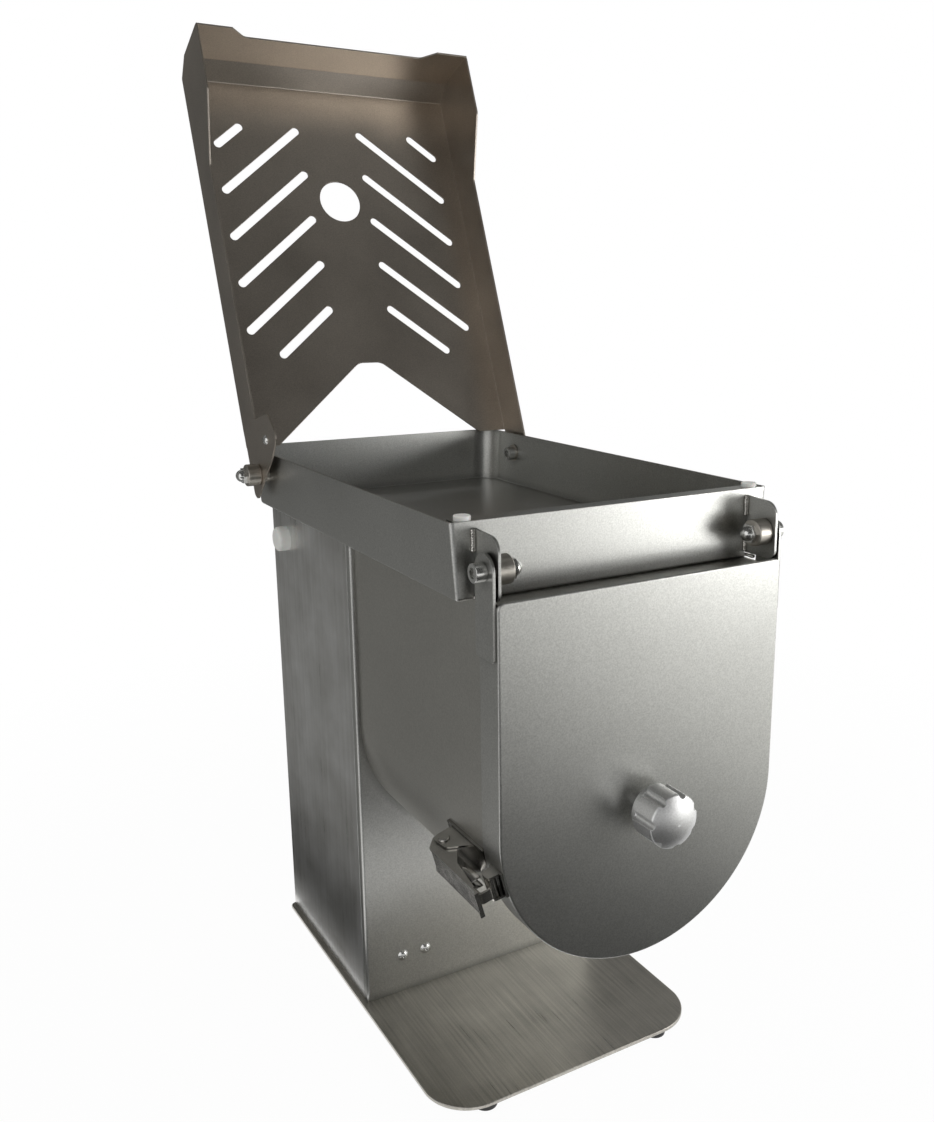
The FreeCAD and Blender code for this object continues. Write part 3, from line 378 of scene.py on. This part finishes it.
@dataclass(frozen=True)
class Turned(Finish):
    """Lathe-turned or polished steel with fine rings along the x axis."""

    pitch: float = 0.0006
    relief: float = 0.1
    ring_height: float = 0.00008
    ring_shine: float = 0.04
    patch_cells: float = 160.0
    patch_shine: float = 0.16
    dark: float = 0.86
    light: float = 1.1

    def build(self) -> bpy.types.Material:
        """Make the material.

        Returns:
            The finished material.
        """
        material, graph, skin, place = self.start()
        across = graph.value("ShaderNodeSeparateXYZ", None, {0: place}, "X")
        rings = 0.5 + (across * (2 * math.pi / self.pitch)).wave() * 0.5
        patch = graph.noise(place, [self.patch_cells] * 3, 2.0, 1.0)
        colour = graph.blend(patch, shade(self.colour, self.dark), shade(self.colour, self.light))
        graph.plug(skin.inputs["Base Color"], colour)
        rough = self.roughness + (patch - 0.5) * self.patch_shine + rings * self.ring_shine
        graph.plug(skin.inputs["Roughness"], rough.clamp(0.05, 0.9))
        skin.inputs["Metallic"].default_value = 1.0
        bump = {"Strength": self.relief, "Distance": self.ring_height, "Height": rings}
        graph.plug(skin.inputs["Normal"], graph.add("ShaderNodeBump", None, bump).outputs[0])
        return material


@dataclass(frozen=True)
class Moulded(Finish):
    """Plastic, rubber, paint or nylon with a fine moulded skin."""

    speckle: float = 0.06
    cells: float = 900.0
    relief: float = 0.15
    relief_height: float = 0.0001
    dust_cells: float = 45.0
    dust_shine: float = 0.15
    glow: float = 0.0
    glow_depth: float = 0.004

    def build(self) -> bpy.types.Material:
        """Make the material.

        Returns:
            The finished material.
        """
        material, graph, skin, place = self.start()
        pores = graph.noise(place, [self.cells] * 3, 2.0, 2.0)
        dust = graph.noise(place, [self.dust_cells] * 3, 3.0, 5.0)
        tone = (pores * 0.5 + dust * 0.5).clamp()
        colour = graph.blend(tone, shade(self.colour, 1 - self.speckle), shade(self.colour, 1 + self.speckle))
        graph.plug(skin.inputs["Base Color"], colour)
        rough = self.roughness + (dust - 0.5) * self.dust_shine
        graph.plug(skin.inputs["Roughness"], rough.clamp(0.05, 0.95))
        skin.inputs["Subsurface Weight"].default_value = self.glow
        skin.inputs["Subsurface Scale"].default_value = self.glow_depth
        bump = {"Strength": self.relief, "Distance": self.relief_height, "Height": pores}
        graph.plug(skin.inputs["Normal"], graph.add("ShaderNodeBump", None, bump).outputs[0])
        return material


# PANEL and LATCH carry painted shade in their recesses and corners
PANEL = Steel(
    "panel_steel", (0.57, 0.57, 0.548), 0.36,
    cloud=0.06, grit=0.16, grit_size=0.0011, relief=0.16, painted_recess_shade=0.55, seed=1.0,
)
LID = Steel(
    "lid_steel", (0.55, 0.495, 0.435), 0.35,
    cloud=0.12, cloud_size=0.08, grit=0.14, grit_size=0.0011, relief=0.14, seed=2.0,
)
SIDE = Steel(
    "column_steel", (0.80, 0.785, 0.735), 0.33, Grain.ALONG_Z,
    cloud=0.20, cloud_size=0.05, grit=0.06, streak=0.12, streak_width=0.006, relief=0.14, seed=4.0,
)
PLATE = Steel(
    "base_steel", (0.50, 0.48, 0.435), 0.36, Grain.ALONG_Y,
    cloud=0.16, cloud_size=0.05, grit=0.08, streak=0.22, streak_width=0.0022, relief=0.2, seed=6.0,
)
TROUGH = Steel(
    "trough_steel", (0.54, 0.53, 0.495), 0.38, Grain.ALONG_Y,
    cloud=0.07, grit=0.12, grit_size=0.0011, relief=0.12, seed=8.0,
)
LATCH = Steel(
    "latch_steel", (0.72, 0.70, 0.66), 0.20,
    cloud=0.10, cloud_size=0.012, grit=0.05, relief=0.05, painted_recess_shade=0.85, edge=0.0, seed=9.0,
)
KNOB = Steel(
    "knob_metal", (0.93, 0.93, 0.92), 0.48,
    cloud=0.03, grit=0.14, relief=0.45, edge=0.0006, seed=11.0,
)
WELD = Steel(
    "weld_steel", (0.70, 0.68, 0.64), 0.24,
    cloud=0.18, cloud_size=0.004, relief=0.2, edge=0.0, seed=12.0,
)
CAST = Steel(
    "gearbox_metal", (0.48, 0.49, 0.50), 0.52,
    cloud=0.12, cloud_size=0.01, relief=0.5, seed=13.0,
)
HARDWARE = Turned("hardware_steel", (0.74, 0.74, 0.72), 0.20)
BUSHING = Turned("bushing_steel", (0.56, 0.53, 0.48), 0.34, pitch=0.0009, relief=0.25)
NYLON = Moulded("bumper_nylon", (0.74, 0.74, 0.71), 0.36, speckle=0.03, glow=0.10)
# Painted shade: the seal's dark brown is set so that the gap above the door's top edge reads dark, standing
# in for the shade in that gap
SEAL_PAINTED_SHADE = Moulded("seal_rubber", (0.060, 0.048, 0.040), 0.55, speckle=0.2)
FOOT = Moulded("foot_rubber", (0.028, 0.028, 0.028), 0.68, speckle=0.25)
PAINT = Moulded("motor_paint", (0.13, 0.145, 0.16), 0.42, speckle=0.1)
BLACK = Moulded("box_plastic", (0.030, 0.030, 0.033), 0.42, speckle=0.2)
GREEN = Moulded("button_green", (0.030, 0.33, 0.095), 0.26, relief=0.04)
RED = Moulded("button_red", (0.52, 0.024, 0.018), 0.26, relief=0.04)


class Stock:
    """Every finish of the mixer, each made once."""

    def __init__(self) -> None:
        """Start with an empty shelf."""
        self.made: dict[str, bpy.types.Material] = {}

    def get(self, finish: Finish) -> bpy.types.Material:
        """The material of a finish.

        Args:
            finish: which finish.

        Returns:
            Its material, made at the first call.
        """
        if finish.name not in self.made:
            self.made[finish.name] = finish.build()
        return self.made[finish.name]

    def dress(self, finish: Finish, *nodes: str) -> None:
        """Put a finish on CAD nodes.

        Args:
            finish: which finish.
            nodes: the nodes' names.
        """
        for name in nodes:
            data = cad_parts[name].data
            data.materials.clear()
            data.materials.append(self.get(finish))
            log.info("dressed %s in %s", name, finish.name)


class Sculptor:
    """Makes plain meshes from Geometry Nodes trees."""

    def __init__(self, stock: Stock) -> None:
        """Keep the shelf of materials.

        Args:
            stock: the finishes.
        """
        self.stock = stock

    def open_tree(
        self, name: str, inputs: dict[str, tuple[str, object]]
    ) -> tuple[bpy.types.NodeTree, Graph, bpy.types.Node]:
        """Start a geometry tree that also takes a finish.

        Args:
            name: the tree's name.
            inputs: each named input's socket type and default.

        Returns:
            The tree, its graph and its Group Input node.
        """
        tree = bpy.data.node_groups.new(name, "GeometryNodeTree")
        for label, (kind, default) in inputs.items():
            socket = tree.interface.new_socket(label, in_out="INPUT", socket_type=kind)
            socket.default_value = default
        tree.interface.new_socket("Finish", in_out="INPUT", socket_type="NodeSocketMaterial")
        tree.interface.new_socket("Geometry", in_out="OUTPUT", socket_type="NodeSocketGeometry")
        graph = Graph(tree)
        return tree, graph, graph.add("NodeGroupInput")

    def close_tree(self, graph: Graph, entry: bpy.types.Node, shape: bpy.types.Node) -> None:
        """End a geometry tree: instances made real, the finish set, the result given out.

        Args:
            graph: the tree's graph.
            entry: its Group Input node.
            shape: the node that makes the shape.
        """
        real = graph.add("GeometryNodeRealizeInstances", None, {0: shape.outputs[0]})
        paint = {"Geometry": real.outputs[0], "Material": entry.outputs["Finish"]}
        painted = graph.add("GeometryNodeSetMaterial", None, paint)
        graph.add("NodeGroupOutput", None, {0: painted.outputs[0]})

    def freeze(
        self, name: str, tree: bpy.types.NodeTree, settings: dict[str, object], place: Matrix
    ) -> bpy.types.Object:
        """Run a tree once and keep its result as a plain mesh.

        Args:
            name: the new object's name.
            tree: the geometry tree.
            settings: the inputs' values by name.
            place: where the result goes.

        Returns:
            An object at the origin whose mesh holds its place.
        """
        carrier = bpy.data.objects.new(name + "_carrier", bpy.data.meshes.new(name + "_carrier"))
        bpy.context.scene.collection.objects.link(carrier)
        modifier = carrier.modifiers.new("shape", "NODES")
        modifier.node_group = tree
        for item in tree.interface.items_tree:
            if item.in_out == "INPUT" and item.name in settings:
                modifier[item.identifier] = settings[item.name]
        bpy.context.view_layer.update()
        evaluated = carrier.evaluated_get(bpy.context.evaluated_depsgraph_get())
        data = bpy.data.meshes.new_from_object(evaluated)
        data.name = name
        data.transform(place)
        carrier.modifiers.clear()
        bpy.data.objects.remove(carrier)
        result = bpy.data.objects.new(name, data)
        bpy.context.scene.collection.objects.link(result)
        return result

    def join(
        self,
        name: str,
        pieces: Sequence[bpy.types.Object],
        body: str,
        finish: Finish,
    ) -> None:
        """Join pieces into one object that rides on a body.

        Args:
            name: the object's name.
            pieces: the pieces; they are used up.
            body: the CAD body.
            finish: the finish.
        """
        mesh = bmesh.new()
        for piece in pieces:
            mesh.from_mesh(piece.data)
            bpy.data.objects.remove(piece)
        data = bpy.data.meshes.new(name)
        mesh.to_mesh(data)
        mesh.free()
        data.materials.clear()
        data.materials.append(self.stock.get(finish))
        data.polygons.foreach_set("use_smooth", [True] * len(data.polygons))
        data.update()
        whole = bpy.data.objects.new(name, data)
        bpy.context.scene.collection.objects.link(whole)
        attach(whole, body)
        log.info("made %s: %d faces", name, len(data.polygons))


def drawing_point(x: float, y: float, z: float) -> Vector:
    """A point of the CAD drawing, in its millimetres, as a point of the scene."""
    return Vector((x * MM, y * MM + SHIFT_Y, z * MM))


def along(start: Vector, end: Vector) -> Matrix:
    """A place at the start whose z axis points to the end.

    Args:
        start: the first point.
        end: the second point.

    Returns:
        The place.
    """
    turn = (end - start).to_track_quat("Z", "Y").to_matrix().to_4x4()
    return Matrix.Translation(start) @ turn


@dataclass
class WeldSeams:
    """Beads of weld on the frame, at the hinge brackets and the trough's upper corners, in millimetres."""

    bead: float = 1.9
    pitch: float = 1.1
    seed: int = 7
    least_drop: Point = (0.75, 0.6, 0.6)
    most_drop: Point = (1.1, 0.85, 0.9)
    seams: tuple[tuple[Point, Point], ...] = (
        ((113.3, -227.1, 483.0), (113.3, -227.1, 469.0)),
        ((113.3, -227.1, 449.0), (113.3, -227.1, 441.5)),
        ((-117.5, -227.1, 483.0), (-117.5, -227.1, 469.0)),
        ((-113.3, -227.1, 449.0), (-113.3, -227.1, 441.5)),
        ((116.2, -233.6, 438.2), (116.2, -226.5, 438.2)),
        ((-116.2, -233.6, 438.2), (-116.2, -226.5, 438.2)),
    )

    def tree(self, shop: Sculptor) -> bpy.types.NodeTree:
        """A row of overlapping drops of uneven size.

        Args:
            shop: the maker of meshes.

        Returns:
            The geometry tree.
        """
        inputs = {
            "Length": ("NodeSocketFloat", 0.02),
            "Pitch": ("NodeSocketFloat", 0.001),
            "Bead Radius": ("NodeSocketFloat", 0.001),
            "Seed": ("NodeSocketInt", 0),
        }
        tree, graph, entry = shop.open_tree("weld_seam", inputs)
        end = graph.add("ShaderNodeCombineXYZ", None, {2: entry.outputs["Length"]})
        line = graph.add(
            "GeometryNodeMeshLine",
            {"mode": "END_POINTS", "count_mode": "RESOLUTION"},
            {"Offset": end.outputs[0], "Resolution": entry.outputs["Pitch"]},
        )
        drop = graph.add(
            "GeometryNodeMeshIcoSphere", None, {"Radius": entry.outputs["Bead Radius"], "Subdivisions": 2}
        )
        size = graph.add(
            "FunctionNodeRandomValue",
            {"data_type": "FLOAT_VECTOR"},
            {0: self.least_drop, 1: self.most_drop, "Seed": entry.outputs["Seed"]},
        )
        beads = graph.add(
            "GeometryNodeInstanceOnPoints",
            None,
            {"Points": line.outputs[0], "Instance": drop.outputs[0], "Scale": size.outputs[0]},
        )
        shop.close_tree(graph, entry, beads)
        return tree

    def build(self, shop: Sculptor) -> None:
        """Make every seam.

        Args:
            shop: the maker of meshes.
        """
        tree = self.tree(shop)
        pieces = []
        for index, (first, last) in enumerate(self.seams):
            start, end = drawing_point(*first), drawing_point(*last)
            settings = {
                "Length": (end - start).length,
                "Pitch": self.pitch * MM,
                "Bead Radius": self.bead * MM,
                "Seed": self.seed + index,
                "Finish": shop.stock.get(WELD),
            }
            pieces.append(shop.freeze(f"seam_{index}", tree, settings, along(start, end)))
        shop.join("weld_seams_frame", pieces, "frame", WELD)


@dataclass
class Frame:
    """Everything that stands still: base, column, trough, tray, drive and their fasteners."""

    def build(self, stock: Stock) -> None:
        """Dress the standing nodes.

        Args:
            stock: the finishes.
        """
        stock.dress(PLATE, "base_plate")
        stock.dress(FOOT, "rubber_feet")
        stock.dress(PANEL, "column_front", "hopper_tray", "hinge_brackets")
        stock.dress(SIDE, "column_shell", "rear_hatch", "seam_straps", "motor_foot", "gearbox_mount")
        stock.dress(TROUGH, "trough_shell")
        stock.dress(HARDWARE, "foot_screws", "hatch_screws", "hinge_screws", "hinge_nuts")
        stock.dress(HARDWARE, "lid_pivot_screws", "lid_pivot_nuts", "front_screws")
        stock.dress(BUSHING, "hinge_spacers", "hinge_bushings")
        stock.dress(BUSHING, "lid_pivot_pads", "lid_pivot_spacers", "lid_pivot_bushings")
        stock.dress(NYLON, "rim_bumpers", "safety_nub", "nub_nut")
        stock.dress(SEAL_PAINTED_SHADE, "shaft_seal")
        stock.dress(PAINT, "motor")
        stock.dress(CAST, "gearbox")
        stock.dress(BLACK, "fan_cover", "terminal_box", "cable_gland", "gland_nut")


@dataclass
class Controls:
    """The start and stop buttons on the column's right side."""

    def build(self, stock: Stock) -> None:
        """Dress the buttons, their panel, bezels and blocks.

        Args:
            stock: the finishes.
        """
        stock.dress(BLACK, "button_panel", "button_blocks")
        stock.dress(HARDWARE, "button_bezels")
        stock.dress(GREEN, "start_button")
        stock.dress(RED, "stop_button")


@dataclass
class Paddle:
    """The turning shaft with its arms and blades."""

    def build(self, stock: Stock) -> None:
        """Dress the paddle.

        Args:
            stock: the finishes.
        """
        stock.dress(TROUGH, "paddle_shaft", "paddle_arms", "paddle_blades")
        stock.dress(HARDWARE, "drive_shaft")


@dataclass
class Door:
    """The front door with its straps, seal, keepers and knob."""

    def build(self, stock: Stock) -> None:
        """Dress the door and its knob.

        Args:
            stock: the finishes.
        """
        stock.dress(PANEL, "door_panel", "door_straps")
        stock.dress(SEAL_PAINTED_SHADE, "door_gasket", "door_boss")
        stock.dress(LATCH, "latch_keepers", "keeper_rollers")
        stock.dress(KNOB, "door_knob")
        stock.dress(HARDWARE, "knob_pin", "pin_clip")


@dataclass
class Lid:
    """The slotted safety lid."""

    def build(self, stock: Stock) -> None:
        """Dress the lid.

        Args:
            stock: the finishes.
        """
        stock.dress(LID, "lid_panel")
        stock.dress(HARDWARE, "lid_magnet", "magnet_screw")


@dataclass
class Latch:
    """The toggle latch left of the door, with a spring and folded sides on its bail, in millimetres."""

    angle: float = 15.0
    trough_radius: float = 116.0
    axis_z: float = 277.0
    coil_radius: float = 3.4
    coil_steps: int = 24
    wire_radius: float = 0.7
    wire_sides: int = 8
    turns: int = 6
    spring_start: tuple[float, float] = (-218.0, 19.6)
    spring_end: tuple[float, float] = (-236.0, 20.0)
    fold_start: float = -243.0
    fold_end: float = -208.0
    fold_top: float = 20.6
    fold_depth: float = 9.0
    fold_thick: float = 1.0
    bail_half: float = 4.0

    def directions(self) -> tuple[Vector, Vector]:
        """The ways out from the trough's wall and up along it, at the latch.

        Returns:
            Two unit vectors.
        """
        turn = math.radians(self.angle)
        out = Vector((-math.cos(turn), 0.0, -math.sin(turn)))
        up = Vector((-math.sin(turn), 0.0, math.cos(turn)))
        return out, up

    def point(self, y: float, height: float) -> Vector:
        """A point on the latch's middle line.

        Args:
            y: the place along the mixer.
            height: the height over the trough's wall.

        Returns:
            The point in the scene.
        """
        reach = self.trough_radius + height
        turn = math.radians(self.angle)
        return drawing_point(-reach * math.cos(turn), y, self.axis_z - reach * math.sin(turn))

    def wind_spring(self, shop: Sculptor) -> None:
        """Wind the spring round the bail.

        Args:
            shop: the maker of meshes.
        """
        inputs = {
            "Length": ("NodeSocketFloat", 0.02),
            "Coil Radius": ("NodeSocketFloat", 0.003),
            "Wire Radius": ("NodeSocketFloat", 0.0007),
            "Turns": ("NodeSocketFloat", 6.0),
        }
        tree, graph, entry = shop.open_tree("bail_spring", inputs)
        helix = {
            "Resolution": self.coil_steps,
            "Rotations": entry.outputs["Turns"],
            "Start Radius": entry.outputs["Coil Radius"],
            "End Radius": entry.outputs["Coil Radius"],
            "Height": entry.outputs["Length"],
        }
        coil = graph.add("GeometryNodeCurveSpiral", None, helix)
        circle = {"Resolution": self.wire_sides, "Radius": entry.outputs["Wire Radius"]}
        section = graph.add("GeometryNodeCurvePrimitiveCircle", {"mode": "RADIUS"}, circle)
        sweep = {"Curve": coil.outputs[0], "Profile Curve": section.outputs[0], "Fill Caps": True}
        shop.close_tree(graph, entry, graph.add("GeometryNodeCurveToMesh", None, sweep))
        start, end = self.point(*self.spring_start), self.point(*self.spring_end)
        settings = {
            "Length": (end - start).length,
            "Coil Radius": self.coil_radius * MM,
            "Wire Radius": self.wire_radius * MM,
            "Turns": float(self.turns),
            "Finish": shop.stock.get(HARDWARE),
        }
        spring = shop.freeze("spring", tree, settings, along(start, end))
        shop.join("bail_spring_left", [spring], "bail_left", HARDWARE)

    def fold_bail(self, shop: Sculptor) -> None:
        """Fold two sides down from the bail's strip.

        Args:
            shop: the maker of meshes.
        """
        inputs = {"Size": ("NodeSocketVector", (0.03, 0.01, 0.001))}
        tree, graph, entry = shop.open_tree("bail_fold", inputs)
        side = graph.add("GeometryNodeMeshCube", None, {"Size": entry.outputs["Size"]})
        shop.close_tree(graph, entry, side)
        out, up = self.directions()
        axes = Matrix((Vector((0.0, 1.0, 0.0)), out, up)).transposed().to_4x4()
        middle = self.point((self.fold_start + self.fold_end) / 2, self.fold_top - self.fold_depth / 2)
        size = Vector((self.fold_end - self.fold_start, self.fold_depth, self.fold_thick)) * MM
        settings = {"Size": size, "Finish": shop.stock.get(LATCH)}
        folds = []
        for way in (-1, 1):
            aside = up * (way * (self.bail_half - self.fold_thick / 2) * MM)
            folds.append(shop.freeze("fold", tree, settings, Matrix.Translation(middle + aside) @ axes))
        shop.join("bail_folds_left", folds, "bail_left", LATCH)

    def build(self, shop: Sculptor) -> None:
        """Dress the latch and make what its bail carries.

        Args:
            shop: the maker of meshes.
        """
        shop.stock.dress(LATCH, "latch_bases", "latch_rivets", "latch_lever_left", "latch_bail_left")
        self.wind_spring(shop)
        self.fold_bail(shop)


@dataclass(frozen=True)
class Card:
    """A sheet that only reflections see; its tone eases from one value to another along x."""

    name: str
    place: Point
    facing: Point
    width: float
    height: float
    tone: float
    end_tone: float
    ramp: tuple[float, float] = (-1.0, 1.0)
    tint: Colour = (1.0, 1.0, 0.97)

    def finish(self) -> bpy.types.Material:
        """Make the card's material.

        Returns:
            A graded emission.
        """
        material, graph = new_material(self.name)
        across = graph.value("ShaderNodeSeparateXYZ", None, {0: graph.coordinates()}, "X")
        start, end = self.ramp
        step = ((across - start) * (1 / (end - start))).clamp()
        eased = step * step * (3 - step * 2)
        colour = graph.blend(eased, shade(self.tint, self.tone), shade(self.tint, self.end_tone))
        glow = graph.add("ShaderNodeEmission", None, {"Color": colour})
        graph.add("ShaderNodeOutputMaterial", None, {"Surface": glow.outputs[0]})
        return material


@dataclass
class Studio:
    """Camera, lamp, white floor and the grey cards that shape the steel's reflections."""

    camera_place: Point = (-0.4369, -0.8493, 0.6294)
    azimuth: float = -31.4
    elevation: float = 13.46
    focal_pixels: float = 1096.0
    frame_pixels: tuple[int, int] = (934, 1122)
    centre_pixels: tuple[float, float] = (543.2, 557.5)
    sensor_width: float = 36.0
    clip: tuple[float, float] = (0.02, 60.0)
    white: Colour = (1.0, 1.0, 1.0)
    air_colour: Colour = (0.94, 0.94, 0.93)
    air_strength: float = 0.75
    floor_size: float = 9.0
    floor_cells: float = 3.0
    floor_dark: Colour = (0.86, 0.86, 0.86)
    floor_light: Colour = (0.88, 0.88, 0.88)
    shadow_near: float = 0.965
    shadow_fade: float = 0.035
    fade_start: float = 0.5
    fade_rate: float = 1.6
    lamp_place: Point = (0.72, -0.82, 0.46)
    lamp_target: Point = (0.0, -0.24, 0.43)
    lamp_size: tuple[float, float] = (0.5, 0.4)
    lamp_power: float = 2.6
    lamp_colour: Colour = (1.0, 1.0, 0.99)
    cards: tuple[Card, ...] = (
        Card("flag_left", (-1.30, 0.95, 1.00), (1.0, 0.0, 0.0), 2.1, 2.4, 0.17, 0.19),
        Card("flag_back", (0.60, 1.90, 1.00), (0.0, -1.0, 0.0), 4.2, 2.4, 0.12, 0.10),
        Card("flag_top", (0.30, -0.30, 2.10), DOWN, 4.2, 3.6, 0.09, 0.08),
        Card("flag_front_high", (0.60, -2.10, 1.375), (0.0, 1.0, 0.0), 4.2, 1.85, 0.07, 0.08),
        Card("flag_front_low", (0.80, -1.45, CARD_LIFT), UP, 4.0, 2.30, 0.035, 1.0, (0.12, 0.80)),
        Card("card_over", (0.75, -0.55, 2.05), DOWN, 0.8, 0.4, 0.40, 0.38),
        # Painted shadow: this dark strip beside the base's left edge stands in, in the column side's
        # reflection, for the floor's contact shadow
        Card("painted_contact_shadow_card", (-0.1735, 1.10, CARD_LIFT), UP, 0.063, 4.0, 0.03, 0.02),
        Card("flag_floor_edge", (-0.13375, 1.10, CARD_LIFT), UP, 0.0165, 4.0, 0.18, 0.18),
        Card("flag_floor_left", (-1.18, 1.58, CARD_LIFT), UP, 1.95, 3.04, 0.20, 0.22),
        Card("flag_floor_back", (0.45, 1.75, CARD_LIFT), UP, 1.1, 2.9, 0.06, 0.08),
        Card("flag_right", (1.80, 0.60, 1.00), (-1.0, 0.0, 0.0), 2.6, 2.4, 0.30, 0.34),
    )

    def camera(self) -> None:
        """Place the camera where the photograph was taken from."""
        width, height = self.frame_pixels
        data = bpy.data.cameras.new("camera")
        data.sensor_fit = "HORIZONTAL"
        data.sensor_width = self.sensor_width
        data.lens = self.focal_pixels / width * self.sensor_width
        data.shift_x = (width / 2 - self.centre_pixels[0]) / width
        data.shift_y = (self.centre_pixels[1] - height / 2) / width
        data.clip_start, data.clip_end = self.clip
        camera = bpy.data.objects.new("camera", data)
        camera.location = self.camera_place
        camera.rotation_euler = (math.radians(90 - self.elevation), 0.0, math.radians(self.azimuth))
        bpy.context.scene.collection.objects.link(camera)
        bpy.context.scene.camera = camera

    def lamp(self) -> None:
        """Hang a small softbox at the front, on the right."""
        data = bpy.data.lights.new("front_box", "AREA")
        data.shape = "RECTANGLE"
        data.size, data.size_y = self.lamp_size
        data.energy = self.lamp_power
        data.color = self.lamp_colour
        lamp = bpy.data.objects.new("front_box", data)
        lamp.location = self.lamp_place
        aim = Vector(self.lamp_target) - Vector(self.lamp_place)
        lamp.rotation_euler = aim.to_track_quat("-Z", "Y").to_euler()
        bpy.context.scene.collection.objects.link(lamp)

    def white_where_seen(self, graph: Graph) -> Value:
        """One for camera, glossy and transmission rays, zero for the rest.

        Args:
            graph: the tree that needs it.

        Returns:
            The mask.
        """
        path = graph.add("ShaderNodeLightPath")
        seen = Value(graph, path.outputs["Is Camera Ray"]) + Value(graph, path.outputs["Is Glossy Ray"])
        return (seen + Value(graph, path.outputs["Is Transmission Ray"])).clamp()

    def world(self) -> None:
        """A plain pale surround that shows white behind the mixer."""
        world = bpy.data.worlds.new("surround")
        world.use_nodes = True
        graph = Graph(world.node_tree)
        seen = self.white_where_seen(graph)
        pale = {"Color": self.air_colour, "Strength": self.air_strength}
        air = graph.add("ShaderNodeBackground", None, pale)
        white = graph.add("ShaderNodeBackground", None, {"Color": self.white, "Strength": 1.0})
        mix = graph.add("ShaderNodeMixShader", None, {0: seen, 1: air.outputs[0], 2: white.outputs[0]})
        graph.add("ShaderNodeOutputWorld", None, {"Surface": mix.outputs[0]})
        bpy.context.scene.world = world

    def sheet(
        self, name: str, width: float, height: float, place: Matrix, material: bpy.types.Material
    ) -> bpy.types.Object:
        """A flat sheet of the stage.

        Args:
            name: its name.
            width: its size across.
            height: its size upwards.
            place: where its middle goes.
            material: its material.

        Returns:
            The sheet.
        """
        x, y = width / 2, height / 2
        data = bpy.data.meshes.new(name)
        data.from_pydata([(-x, -y, 0), (x, -y, 0), (x, y, 0), (-x, y, 0)], [], [(0, 1, 2, 3)])
        data.transform(place)
        data.materials.append(material)
        sheet = bpy.data.objects.new(name, data)
        bpy.context.scene.collection.objects.link(sheet)
        return sheet

    def floor(self) -> None:
        """A white floor that keeps a soft shadow near the mixer."""
        material, graph = new_material("floor_white")
        place = graph.coordinates()
        mottle = graph.noise(place, [self.floor_cells] * 3, 2.0, 0.0)
        tone = graph.blend(mottle, self.floor_dark, self.floor_light)
        paint = graph.add("ShaderNodeBsdfDiffuse", None, {"Color": tone})
        glow = graph.add("ShaderNodeEmission", None, {"Color": self.white, "Strength": 1.0})
        reach = graph.value("ShaderNodeVectorMath", {"operation": "LENGTH"}, {0: place}, "Value")
        far = ((reach - self.fade_start) * self.fade_rate).clamp()
        seen = self.white_where_seen(graph) * (self.shadow_near + far * self.shadow_fade)
        mix = graph.add("ShaderNodeMixShader", None, {0: seen, 1: paint.outputs[0], 2: glow.outputs[0]})
        graph.add("ShaderNodeOutputMaterial", None, {"Surface": mix.outputs[0]})
        self.sheet("floor", self.floor_size, self.floor_size, Matrix.Identity(4), material)

    def hang_cards(self) -> None:
        """Hang the grey cards, which only reflections see."""
        for card in self.cards:
            turn = Vector(card.facing).to_track_quat("Z", "Y").to_matrix().to_4x4()
            place = Matrix.Translation(card.place) @ turn
            sheet = self.sheet(card.name, card.width, card.height, place, card.finish())
            sheet.visible_camera = False
            sheet.visible_diffuse = False
            sheet.visible_shadow = False
            sheet.visible_transmission = False

    def build(self) -> None:
        """Set up the whole studio."""
        self.camera()
        self.world()
        self.floor()
        self.hang_cards()
        self.lamp()
        bpy.context.scene.view_settings.view_transform = "Standard"


def main() -> None:
    """Build the studio and every sub-assembly in order."""
    logging.basicConfig(level=logging.INFO, format="%(message)s")
    stock = Stock()
    shop = Sculptor(stock)
    Studio().build()
    Frame().build(stock)
    Controls().build(stock)
    Paddle().build(stock)
    Door().build(stock)
    Lid().build(stock)
    Latch().build(shop)
    WeldSeams().build(shop)


if __name__ == "__main__":
    main()
